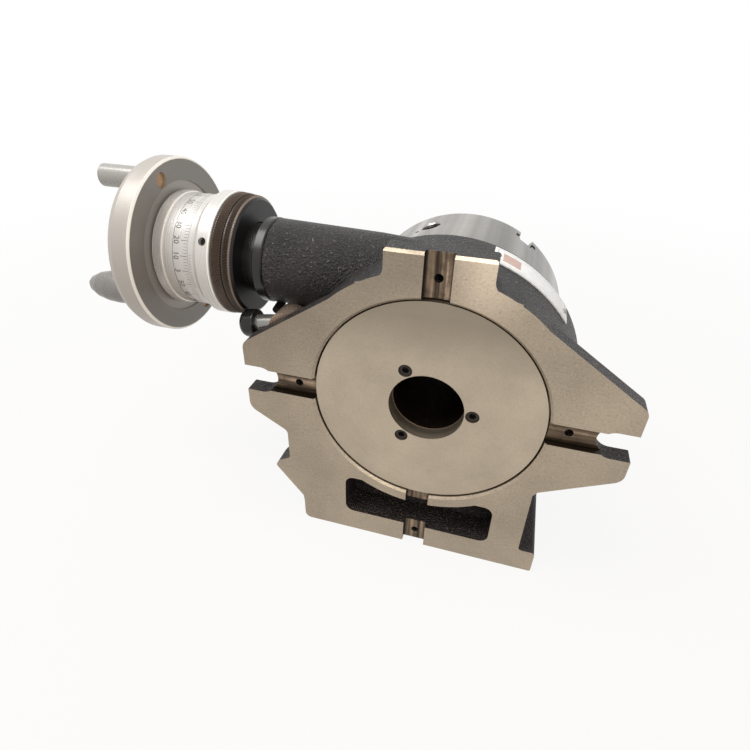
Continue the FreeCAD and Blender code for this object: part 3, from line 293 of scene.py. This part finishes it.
def turned_metal(name, tint, along, centre, rough=(0.26, 0.40), lines=900.0, depth=0.00003, metallic=1.0,
                 clouds=0.06, specks=0.0, streaks=0.0, edges=(), shade=None, **extra):
    """Lathe-turned surface: fine rings about an axis, cloudiness, specks, painted reflection streaks, painted
    shade and painted edge highlights.

    An edge is (start, end, least radius): a band along the axis painted near-white as a highlight.
    """
    f = Finish(name)
    length, radius, angle = f.around(along, centre)
    ring = f.noise(lines, 2.0, 0.6, f.point(length, radius, f.math("MULTIPLY", angle, 0.0006)))
    cloud = f.noise(28.0, 3.0)
    colour = f.blend(f.span(cloud, 0.3, 0.7), darker(tint, 1.0 - clouds * 2), darker(tint, 1.0 + clouds))
    if specks:
        spots = f.noise(1200.0, 3.0, 0.75)
        colour = f.blend(f.span(spots, 0.55, 0.74, 0.0, specks), colour, darker(tint, 0.42))
        colour = f.blend(f.span(spots, 0.42, 0.28, 0.0, specks * 0.7), colour, darker(tint, 1.5))
    # painted reflection: dark and light streaks by angle stand in for reflected softboxes
    if streaks:
        painted_reflection_streak = f.noise(1.0, 3.0, 0.6, f.point(f.math("MULTIPLY", f.math("SINE", angle), 2.6),
                                             f.math("MULTIPLY", f.math("COSINE", angle), 2.6), 4.0))
        colour = f.blend(f.span(painted_reflection_streak, 0.40, 0.52, streaks, 0.0), colour, darker(tint, 0.45))
        colour = f.blend(f.span(painted_reflection_streak, 0.54, 0.64, 0.0, streaks), colour, darker(tint, 1.7))
    # painted shade: a given shade function darkens the colour by place
    if shade:
        colour = f.blend(shade(f), colour, darker(tint, 0.55))
    # painted highlight: each edge band is painted near-white
    for start, end, least in edges:
        band = between(f, length, start, end, 0.00008)
        painted_edge_band = f.math("MULTIPLY", band, f.math("GREATER_THAN", radius, least))
        colour = f.blend(f.math("MULTIPLY", painted_edge_band, 0.85), colour, (0.93, 0.89, 0.82))
    normal = f.bump(ring, depth, 0.7)
    return f.done(f.surface(colour, f.span(ring, 0.3, 0.7, *rough), metallic, normal, **extra))


def plain_metal(name, tint, rough=(0.25, 0.4), metallic=1.0, stain=0.25, **extra):
    """Small bright or blackened parts: a soft grain and slight stains."""
    f = Finish(name)
    grain = f.noise(1200.0, 3.0, 0.6)
    patches = f.noise(70.0, 3.0)
    colour = f.blend(f.span(patches, 0.35, 0.75), tint, darker(tint, 1.0 - stain))
    return f.done(f.surface(colour, f.span(grain, 0.3, 0.7, *rough), metallic, f.bump(grain, 0.00003, 0.5),
                            **extra))


def spindle_finish():
    """Ground outside; the bore is painted dark as shade, darker with depth."""
    f = Finish("spindle steel")
    length, radius, angle = f.around("y", SPINDLE_CENTRE)
    ring = f.noise(900.0, 2.0, 0.6, f.point(length, radius, f.math("MULTIPLY", angle, 0.002)))
    colour = f.blend(f.span(ring, 0.3, 0.7), (0.30, 0.275, 0.24), (0.42, 0.39, 0.345))
    # painted shade: the bore is dark and darkens with depth
    inside = f.math("LESS_THAN", radius, 0.0240)
    bore = f.blend(f.span(length, 0.010, 0.060), (0.075, 0.052, 0.036), (0.020, 0.014, 0.010))
    colour = f.blend(inside, colour, bore)
    return f.done(f.surface(colour, f.span(ring, 0.3, 0.7, 0.26, 0.40), 0.9, f.bump(ring, 0.00003, 0.6)))


def gloss_black(name):
    f = Finish(name)
    faint = f.noise(60.0, 2.0)
    colour = f.blend(f.span(faint, 0.3, 0.7), (0.007, 0.007, 0.008), (0.015, 0.014, 0.014))
    return f.done(f.surface(colour, f.span(faint, 0.3, 0.7, 0.10, 0.20), 0.0, Specular_IOR_Level=0.35))


def lever_finish():
    """Satin rod, and a copper-toned hub: a painted reflection."""
    f = Finish("lever steel")
    grain = f.noise(900.0, 3.0, 0.6)
    hub_x, hub_z = LEVER_HUB
    x, _, z = f.axes((hub_x, 0.0, hub_z))
    away = f.math("SQRT", f.math("ADD", f.math("MULTIPLY", x, x), f.math("MULTIPLY", z, z)))
    # painted reflection: the hub is painted copper
    painted_hub_reflection = f.span(away, 0.0112, 0.0122, 1.0, 0.0)
    colour = f.blend(painted_hub_reflection, (0.27, 0.265, 0.25), (0.50, 0.36, 0.26))
    colour = f.blend(f.span(grain, 0.4, 0.7, 0.0, 0.3), colour, (0.20, 0.18, 0.16))
    return f.done(f.surface(colour, f.span(grain, 0.3, 0.7, 0.20, 0.32), 0.7, f.bump(grain, 0.00003, 0.5)))


def handle_finish():
    """Satin handle whose brass stud shows in its hole through the wheel."""
    f = Finish("handle steel")
    grain = f.noise(1200.0, 3.0, 0.6)
    x, _, _ = f.axes()
    inside = f.math("GREATER_THAN", x, WHEEL_BACK - 0.012)
    colour = f.blend(inside, (0.34, 0.33, 0.315), (0.42, 0.25, 0.12))
    colour = f.blend(f.span(grain, 0.4, 0.7, 0.0, 0.2), colour, (0.25, 0.22, 0.19))
    return f.done(f.surface(colour, f.span(grain, 0.3, 0.7, 0.22, 0.34), 0.35, f.bump(grain, 0.00003, 0.5)))


def plate_finish():
    """Blank printed plate: a thin frame line, a muted block and faint ruled fields."""
    f = Finish("plate")
    length, _, angle = f.around("y", SPINDLE_CENTRE)
    wide = f.span(length, plate_low.y, plate_high.y)
    run = f.span(angle, math.radians(74.0), math.radians(37.0))
    edge = f.math("MINIMUM", f.math("MINIMUM", wide, f.math("SUBTRACT", 1.0, wide)),
                  f.math("MULTIPLY", f.math("MINIMUM", run, f.math("SUBTRACT", 1.0, run)), 2.4))
    frame_line = f.math("MULTIPLY", f.math("GREATER_THAN", edge, 0.075), f.math("LESS_THAN", edge, 0.10))
    rows = f.math("LESS_THAN", f.math("FRACT", f.math("MULTIPLY", wide, 6.0)), 0.16)
    columns = f.math("MULTIPLY", f.math("GREATER_THAN", run, 0.42), f.math("LESS_THAN", run, 0.93))
    fields = f.math("MULTIPLY", f.math("MULTIPLY", rows, columns), f.math("GREATER_THAN", edge, 0.14))
    stretch = f.math("MULTIPLY", f.math("GREATER_THAN", run, 0.10), f.math("LESS_THAN", run, 0.30))
    block = f.math("MULTIPLY", stretch, f.math("GREATER_THAN", edge, 0.24))
    wear = f.noise(300.0, 3.0)
    colour = f.blend(f.span(wear, 0.35, 0.75), (0.84, 0.84, 0.83), (0.70, 0.70, 0.69))
    colour = f.blend(f.math("MULTIPLY", block, 0.75), colour, (0.42, 0.20, 0.13))
    colour = f.blend(f.math("MULTIPLY", fields, 0.45), colour, (0.24, 0.27, 0.42))
    colour = f.blend(f.math("MULTIPLY", frame_line, 0.5), colour, (0.15, 0.15, 0.16))
    return f.done(f.surface(colour, f.span(wear, 0.3, 0.7, 0.28, 0.42), 0.15))


def ink(name, colour):
    f = Finish(name)
    fade = f.noise(900.0, 3.0)
    tone = f.blend(f.span(fade, 0.45, 0.8), colour, tuple(c * 2.0 + 0.03 for c in colour))
    return f.done(f.surface(tone, 0.6))


def knurl_finish():
    """Browned steel with its crests lighter from wear, and a painted highlight along its outer edge."""
    f = Finish("knurl black")
    length, radius, angle = f.around("x", WORM_CENTRE)
    crest = f.noise(900.0, 2.0, 0.6)
    height = f.span(radius, RING_R - 0.0016, RING_R + 0.0001)
    colour = f.blend(height, (0.012, 0.009, 0.007), (0.105, 0.075, 0.055))
    colour = f.blend(f.span(crest, 0.45, 0.75, 0.0, 0.5), colour, (0.045, 0.032, 0.024))
    # painted highlight: a lighter band along the ring's outer edge
    painted_edge_highlight = f.math("MULTIPLY", between(f, length, ring_high.x - 0.0024, ring_high.x - 0.0014, 0.0001),
                        f.math("GREATER_THAN", radius, 0.036))
    colour = f.blend(f.math("MULTIPLY", painted_edge_highlight, 0.8), colour, (0.26, 0.20, 0.16))
    face = f.math("GREATER_THAN", length, ring_high.x - 0.0006)
    colour = f.blend(face, colour, (0.010, 0.009, 0.009))
    return f.done(f.surface(colour, f.span(crest, 0.3, 0.7, 0.30, 0.45), 0.35, f.bump(crest, 0.0001, 0.4)))


def wheel_shade(f):
    """Painted shade: the wheel's flat back is painted darker than its handled rim."""
    length = f.around("x", WORM_CENTRE)[0]
    return f.math("MULTIPLY", f.math("GREATER_THAN", length, WHEEL_BACK - 0.00002), 0.85)


def disc_shade(f):
    """Painted shade: the disc is painted darker towards its upper edge."""
    return f.span(f.axes()[2], 0.030, 0.062, 0.0, 0.8)


casting = casting_finish()
# in these finishes, edge bands are painted highlights, streaks painted reflections, and the shade functions
# painted shade
disc_steel = turned_metal("disc steel", (0.475, 0.40, 0.305), "y", SPINDLE_CENTRE, (0.36, 0.48), 420.0,
                          0.00002, metallic=0.9, clouds=0.06, specks=0.42, shade=disc_shade)
chuck_steel = turned_metal("chuck steel", (0.36, 0.345, 0.32), "y", SPINDLE_CENTRE, (0.20, 0.34), clouds=0.05,
                           streaks=0.75, metallic=0.9,
                           edges=((chuck_high.y - 0.0024, chuck_high.y + 0.0002, 0.0780),))
wheel_alloy = turned_metal("wheel alloy", (0.40, 0.375, 0.345), "x", WORM_CENTRE, (0.32, 0.44), metallic=0.3,
                           clouds=0.02, shade=wheel_shade,
                           edges=((WHEEL_BACK - 0.0013, WHEEL_BACK + 0.0001, 0.0578),))
dial_chrome = turned_metal("dial chrome", (0.56, 0.545, 0.525), "x", WORM_CENTRE, (0.24, 0.34), metallic=0.25,
                           clouds=0.015, edges=((dial_low.x + 0.0066, dial_low.x + 0.0074, 0.0370),
                                                (vernier_high.x - 0.0012, vernier_high.x - 0.0003, 0.0402)))
knurl_black = knurl_finish()
dial_knurl_metal = plain_metal("dial knurl", (0.50, 0.48, 0.46), (0.30, 0.42), 0.2, 0.1)
neck_black = turned_metal("neck black", (0.014, 0.013, 0.012), "x", WORM_CENTRE, (0.22, 0.32), metallic=0.2)
knob_black = gloss_black("knob black")
spindle_steel = spindle_finish()
screw_black = plain_metal("screw black", (0.030, 0.024, 0.020), (0.25, 0.38), 0.6)
grip_steel = plain_metal("grip steel", (0.22, 0.21, 0.20), (0.22, 0.34), 0.35, 0.12)
bright_steel = plain_metal("bright steel", (0.36, 0.35, 0.335), (0.22, 0.34), 0.35, 0.12)
lever_steel = lever_finish()
handle_steel = handle_finish()
brass = plain_metal("brass stud", (0.42, 0.25, 0.12), (0.25, 0.4), 0.7)
bronze = plain_metal("wheel bronze", (0.60, 0.41, 0.21), (0.28, 0.42))
plate = plate_finish()
dial_ink = ink("dial ink", (0.022, 0.018, 0.016))

FINISHES = {
    "base_casting": casting, "rear_disc": disc_steel, "chuck_body": chuck_steel, "chuck_cover": chuck_steel,
    "jaw_1": chuck_steel, "jaw_2": chuck_steel, "jaw_3": chuck_steel, "scroll_plate": chuck_steel,
    "spindle": spindle_steel, "handwheel": wheel_alloy, "graduated_dial": dial_chrome,
    "vernier_ring": dial_chrome,
    "knurled_ring": knurl_black, "eccentric_sleeve": neck_black, "worm_shaft": bright_steel,
    "worm_wheel": bronze, "nameplate": plate, "zero_plate": plate, "clamp_knob": knob_black,
    "clamp_lever": lever_steel, "clamp_stud": bright_steel, "clamp_dog": bright_steel,
    "clamp_nut": screw_black,
    "plain_handle": handle_steel, "revolving_handle": grip_steel, "grip_stud": brass,
    "sleeve_lock_screw": screw_black, "handwheel_nut": screw_black, "handwheel_key": bright_steel,
    "dial_spring_washer": bright_steel, "worm_thrust_washers": bronze, "vernier_set_screws": screw_black,
    "rear_disc_screws": screw_black, "worm_wheel_screws": screw_black, "chuck_screws": screw_black,
    "cover_screws": screw_black, "zero_plate_screws": bright_steel, "nameplate_rivets": bright_steel,
    "chuck_pinion_1": screw_black, "chuck_pinion_2": screw_black, "chuck_pinion_3": screw_black,
}
for node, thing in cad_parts.items():
    for place in range(max(1, len(thing.material_slots))):
        if thing.material_slots:
            thing.material_slots[place].material = FINISHES[node]
        else:
            thing.data.materials.append(FINISHES[node])


# ---- repeated features by geometry nodes -----------------------------------------------------------
class Growth:
    """A geometry node tree with short calls for its nodes and named inputs."""

    def __init__(self, name):
        self.tree = bpy.data.node_groups.new(name, "GeometryNodeTree")
        self.tree.interface.new_socket(name="Geometry", in_out="OUTPUT", socket_type="NodeSocketGeometry")
        self.entry = self.tree.nodes.new("NodeGroupInput")
        self.exit = self.tree.nodes.new("NodeGroupOutput")
        self.names = {}

    def input(self, name, kind):
        socket = self.tree.interface.new_socket(name=name, in_out="INPUT", socket_type="NodeSocket" + kind)
        self.names[name] = socket.identifier
        return self.entry.outputs[name]

    def feed(self, socket, value):
        if isinstance(value, bpy.types.NodeSocket):
            self.tree.links.new(value, socket)
        else:
            socket.default_value = value

    def node(self, kind, settings=None, **inputs):
        made = self.tree.nodes.new(kind)
        for key, value in (settings or {}).items():
            setattr(made, key, value)
        for key, value in inputs.items():
            self.feed(made.inputs[key.replace("_", " ")], value)
        return made

    def math(self, operation, first, second=0.0):
        made = self.tree.nodes.new("ShaderNodeMath")
        made.operation = operation
        self.feed(made.inputs[0], first)
        self.feed(made.inputs[1], second)
        return made.outputs[0]

    def point(self, x, y, z):
        return self.node("ShaderNodeCombineXYZ", X=x, Y=y, Z=z).outputs[0]

    def finish(self, geometry, centre, material):
        real = self.node("GeometryNodeRealizeInstances", Geometry=geometry).outputs[0]
        moved = self.node("GeometryNodeTransform", Geometry=real, Translation=centre).outputs[0]
        coated = self.node("GeometryNodeSetMaterial", Geometry=moved, Material=material).outputs[0]
        self.tree.links.new(coated, self.exit.inputs["Geometry"])


def around_axis(g, count, start, step, radius, along):
    """Points on a circle about the X axis; returns the points and the turn that faces them outwards."""
    line = g.node("GeometryNodeMeshLine", Count=count).outputs[0]
    index = g.node("GeometryNodeInputIndex").outputs[0]
    angle = g.math("ADD", g.math("MULTIPLY", index, step), start)
    spot = g.point(along, g.math("MULTIPLY", g.math("COSINE", angle), radius),
                   g.math("MULTIPLY", g.math("SINE", angle), radius))
    placed = g.node("GeometryNodeSetPosition", Geometry=line, Position=spot).outputs[0]
    return placed, g.point(g.math("SUBTRACT", angle, math.pi / 2), 0.0, 0.0)


def graduation_tree():
    """Fine bars on a round surface, set out by angle."""
    g = Growth("graduations")
    count = g.input("Count", "Int")
    start = g.input("Start", "Float")
    step = g.input("Step", "Float")
    radius = g.input("Radius", "Float")
    along = g.input("Along", "Float")
    length = g.input("Length", "Float")
    width = g.input("Width", "Float")
    height = g.input("Height", "Float")
    centre = g.input("Centre", "Vector")
    material = g.input("Material", "Material")
    points, turn = around_axis(g, count, start, step, radius, along)
    bar = g.node("GeometryNodeMeshCube", Size=g.point(length, width, height)).outputs[0]
    bars = g.node("GeometryNodeInstanceOnPoints", Points=points, Instance=bar, Rotation=turn).outputs[0]
    g.finish(bars, centre, material)
    return g


def knurl_tree():
    """Diamond knurl on a slightly tapered band."""
    g = Growth("diamond knurl")
    around = g.input("Around", "Int")
    rows = g.input("Rows", "Int")
    radius = g.input("Radius", "Float")
    taper = g.input("Taper", "Float")
    along = g.input("Along", "Float")
    row_step = g.input("Row Step", "Float")
    height = g.input("Height", "Float")
    centre = g.input("Centre", "Vector")
    material = g.input("Material", "Material")
    line = g.node("GeometryNodeMeshLine", Count=g.math("MULTIPLY", around, rows)).outputs[0]
    index = g.node("GeometryNodeInputIndex").outputs[0]
    row = g.math("FLOOR", g.math("DIVIDE", index, around))
    column = g.math("SUBTRACT", index, g.math("MULTIPLY", row, around))
    odd = g.math("MULTIPLY", g.math("MODULO", row, 2.0), 0.5)
    step = g.math("DIVIDE", 2 * math.pi, around)
    angle = g.math("MULTIPLY", g.math("ADD", column, odd), step)
    here = g.math("ADD", radius, g.math("MULTIPLY", row, taper))
    spot = g.point(g.math("ADD", along, g.math("MULTIPLY", row, row_step)),
                   g.math("MULTIPLY", g.math("COSINE", angle), here),
                   g.math("MULTIPLY", g.math("SINE", angle), here))
    points = g.node("GeometryNodeSetPosition", Geometry=line, Position=spot).outputs[0]
    spike = g.node("GeometryNodeMeshCone", {"fill_type": "NONE"}, Vertices=4, Radius_Top=0.0,
                   Radius_Bottom=1.0, Depth=1.0).outputs[0]
    half_arc = g.math("MULTIPLY", g.math("MULTIPLY", step, here), 0.5)
    turn = g.point(g.math("SUBTRACT", angle, math.pi / 2), 0.0, 0.0)
    spikes = g.node("GeometryNodeInstanceOnPoints", Points=points, Instance=spike, Rotation=turn,
                    Scale=g.point(row_step, half_arc, height)).outputs[0]
    g.finish(spikes, centre, material)
    return g


def grow(g, name, body, slot, **values):
    """Runs a tree with its inputs and keeps the result as a plain mesh on a body."""
    seed = new_object(name + "_seed", bpy.data.meshes.new(name + "_seed"))
    modifier = seed.modifiers.new("grow", "NODES")
    modifier.node_group = g.tree
    for key, value in values.items():
        modifier[g.names[key.replace("_", " ")]] = value
    bpy.context.view_layer.update()
    graph = bpy.context.evaluated_depsgraph_get()
    mesh = bpy.data.meshes.new_from_object(seed.evaluated_get(graph))
    seed.modifiers.remove(modifier)
    bpy.data.objects.remove(seed)
    return finished(new_object(name, mesh), body)


graduations = graduation_tree()
knurl = knurl_tree()
AXIS = Vector((0.0, WORM_Y, WORM_Z))
DIVISIONS = 120          # two minutes each, four degrees to a turn
LABELS = 24
NUMERAL_SIZE = 5.3 * MM
NUMERAL_SET_BACK = 10.2 * MM
LINE_FROM = math.radians(181.5)   # a labelled line near the front of the dial

LINES = {
    "dial_short_lines": (DIVISIONS, 2.7, 0.22),
    "dial_long_lines": (LABELS, 4.9, 0.30),
}
for name, (count, length, width) in LINES.items():
    grow(graduations, name, "dial", "dial_chrome", Count=count, Start=LINE_FROM, Step=2 * math.pi / count,
         Radius=DIAL_R, Along=DIAL_EDGE - (length / 2 + 0.4) * MM, Length=length * MM, Width=width * MM,
         Height=0.05 * MM, Centre=AXIS, Material=dial_ink)
grow(graduations, "dial_circle_line", "dial", "dial_chrome", Count=180, Start=0.0, Step=2 * math.pi / 180,
     Radius=DIAL_R, Along=DIAL_EDGE - 10.9 * MM, Length=0.28 * MM, Width=DIAL_R * 2 * math.pi / 178,
     Height=0.04 * MM, Centre=AXIS, Material=dial_ink)
grow(graduations, "vernier_lines", "worm_sleeve", "dial_chrome", Count=13, Start=LINE_FROM - 6 * 0.0489,
     Step=0.0489, Radius=DIAL_R + 0.45 * MM, Along=VERNIER_EDGE + 1.7 * MM, Length=2.4 * MM, Width=0.18 * MM,
     Height=0.06 * MM, Centre=AXIS, Material=dial_ink)
grow(knurl, "dial_knurl", "dial", "dial_chrome", Around=170, Rows=9, Radius=DIAL_GRIP_R - 0.02 * MM,
     Taper=0.0, Along=dial_low.x + 1.0 * MM, Row_Step=0.66 * MM, Height=0.7 * MM, Centre=AXIS,
     Material=dial_knurl_metal)
# (name, start along the ring, rows, radius, taper), lengths in millimetres
RING_KNURLS = (("ring_knurl_outer", 0.9, 7, 39.9, -0.06), ("ring_knurl_inner", 8.1, 5, 39.1, -0.08))
for name, start, rows, radius, taper in RING_KNURLS:
    grow(knurl, name, "worm_sleeve", "black_oxide", Around=150, Rows=rows, Radius=radius * MM,
         Taper=taper * MM, Along=ring_low.x + (start + 0.6) * MM, Row_Step=0.8 * MM, Height=0.9 * MM,
         Centre=AXIS, Material=knurl_black)


# ---- lettering -------------------------------------------------------------------------------------
def numeral_mesh(words, size):
    """Flat outline of a number as a mesh, its middle at the origin."""
    curve = bpy.data.curves.new("numeral", "FONT")
    curve.body = words
    curve.size = size
    curve.align_x = "CENTER"
    curve.resolution_u = 3
    carrier = new_object("numeral", curve)
    bpy.context.view_layer.update()
    graph = bpy.context.evaluated_depsgraph_get()
    mesh = bpy.data.meshes.new_from_object(carrier.evaluated_get(graph))
    bpy.data.objects.remove(carrier)
    return mesh


def numbers_on_dial():
    """Minutes and degrees round the dial, read along the circle."""
    joined = bmesh.new()
    size = NUMERAL_SIZE
    radius = DIAL_R + 0.03 * MM
    for i in range(LABELS):
        part = i % 6
        degree = (3 + i // 6) % 4
        words = str(degree) if part == 0 else str(part * 10)
        mesh = numeral_mesh(words, size)
        middle = LINE_FROM - 2 * math.pi * i / LABELS
        for v in mesh.vertices:
            angle = middle + v.co.x / radius
            v.co = (DIAL_EDGE - NUMERAL_SET_BACK + v.co.y, WORM_Y + radius * math.cos(angle),
                    WORM_Z + radius * math.sin(angle))
        joined.from_mesh(mesh)
        bpy.data.meshes.remove(mesh)
    mesh = bpy.data.meshes.new("dial_numbers")
    joined.to_mesh(mesh)
    joined.free()
    finished(new_object("dial_numbers", mesh), "dial", dial_ink)


numbers_on_dial()


# ---- stage -------------------------------------------------------------------------------------------
def white_for_looks(nodes, links):
    """1 for camera, glossy and transmission rays."""
    path = nodes.new("ShaderNodeLightPath")
    total = None
    for name in ("Is Camera Ray", "Is Glossy Ray", "Is Transmission Ray"):
        if total is None:
            total = path.outputs[name]
            continue
        joined = nodes.new("ShaderNodeMath")
        joined.operation = "MAXIMUM"
        links.new(total, joined.inputs[0])
        links.new(path.outputs[name], joined.inputs[1])
        total = joined.outputs[0]
    return total


def build_world():
    """White behind everything, and a soft fill that comes mostly from above."""
    world = bpy.data.worlds.new("studio")
    scene.world = world
    world.use_nodes = True
    nodes, links = world.node_tree.nodes, world.node_tree.links
    nodes.clear()
    seen = nodes.new("ShaderNodeBackground")
    seen.inputs["Color"].default_value = (1.0, 1.0, 1.0, 1.0)
    seen.inputs["Strength"].default_value = 1.0
    place = nodes.new("ShaderNodeTexCoord")
    split = nodes.new("ShaderNodeSeparateXYZ")
    rise = nodes.new("ShaderNodeMapRange")
    rise.inputs["From Min"].default_value = -0.2
    rise.inputs["From Max"].default_value = 0.9
    rise.inputs["To Min"].default_value = 0.12
    rise.inputs["To Max"].default_value = 0.85
    fill = nodes.new("ShaderNodeBackground")
    fill.inputs["Color"].default_value = (1.0, 0.97, 0.93, 1.0)
    mix = nodes.new("ShaderNodeMixShader")
    out = nodes.new("ShaderNodeOutputWorld")
    links.new(place.outputs["Generated"], split.inputs[0])
    links.new(split.outputs[2], rise.inputs["Value"])
    links.new(rise.outputs["Result"], fill.inputs["Strength"])
    links.new(white_for_looks(nodes, links), mix.inputs["Fac"])
    links.new(fill.outputs[0], mix.inputs[1])
    links.new(seen.outputs[0], mix.inputs[2])
    links.new(mix.outputs[0], out.inputs["Surface"])


def build_floor():
    """Pale floor that turns into the white background with distance."""
    mesh = bpy.data.meshes.new("floor")
    half = 40.0
    level = FOOT - 0.2 * MM
    corners = [(-half, -half, level), (half, -half, level), (half, half, level), (-half, half, level)]
    mesh.from_pydata(corners, [], [(0, 1, 2, 3)])
    floor = new_object("floor", mesh)
    material = bpy.data.materials.new("pale floor")
    material.use_nodes = True
    nodes, links = material.node_tree.nodes, material.node_tree.links
    nodes.clear()
    matt = nodes.new("ShaderNodeBsdfDiffuse")
    matt.inputs["Color"].default_value = (0.52, 0.47, 0.42, 1.0)
    glow = nodes.new("ShaderNodeEmission")
    glow.inputs["Color"].default_value = (1.0, 1.0, 1.0, 1.0)
    glow.inputs["Strength"].default_value = 1.0
    place = nodes.new("ShaderNodeTexCoord")
    far = nodes.new("ShaderNodeVectorMath")
    far.operation = "LENGTH"
    fade = nodes.new("ShaderNodeMapRange")
    fade.inputs["From Min"].default_value = 0.25
    fade.inputs["From Max"].default_value = 1.1
    fade.inputs["To Min"].default_value = 0.90
    fade.inputs["To Max"].default_value = 1.0
    share = nodes.new("ShaderNodeMath")
    share.operation = "MULTIPLY"
    mix = nodes.new("ShaderNodeMixShader")
    out = nodes.new("ShaderNodeOutputMaterial")
    links.new(place.outputs["Object"], far.inputs[0])
    links.new(far.outputs["Value"], fade.inputs["Value"])
    links.new(white_for_looks(nodes, links), share.inputs[0])
    links.new(fade.outputs["Result"], share.inputs[1])
    links.new(share.outputs[0], mix.inputs["Fac"])
    links.new(matt.outputs[0], mix.inputs[1])
    links.new(glow.outputs[0], mix.inputs[2])
    links.new(mix.outputs[0], out.inputs["Surface"])
    mesh.materials.append(material)


def lamp(name, place, target, size, power, colour):
    light = bpy.data.lights.new(name, "AREA")
    light.shape = "RECTANGLE"
    light.size, light.size_y = size
    light.energy = power
    light.color = colour
    holder = bpy.data.objects.new(name, light)
    scene.collection.objects.link(holder)
    aim = Vector(target) - Vector(place)
    holder.matrix_world = Matrix.Translation(place) @ aim.to_track_quat("-Z", "Y").to_matrix().to_4x4()


def build_camera():
    data = bpy.data.cameras.new("camera")
    data.sensor_width = 36.0
    data.lens = 36.0 * 518.52 / 750.0
    data.clip_start = 0.01
    data.clip_end = 20.0
    holder = bpy.data.objects.new("camera", data)
    scene.collection.objects.link(holder)
    right = Vector((0.96052, 0.27733, 0.02199))
    up = Vector((-0.17159, 0.52836, 0.83150))
    back = Vector((0.21898, -0.80245, 0.55509))
    turn = Matrix((right, up, back)).transposed().to_4x4()
    holder.matrix_world = Matrix.Translation((0.03695, -0.25546, 0.19664)) @ turn
    scene.camera = holder


build_world()
build_floor()
lamp("key", (-0.45, -0.15, 1.0), (0.0, 0.05, 0.0), (0.7, 0.7), 11.0, (1.0, 0.99, 0.97))
lamp("front", (0.35, -1.0, 0.55), (0.0, 0.0, 0.0), (0.7, 0.5), 3.0, (1.0, 0.94, 0.86))
build_camera()
scene.view_settings.view_transform = "Standard"
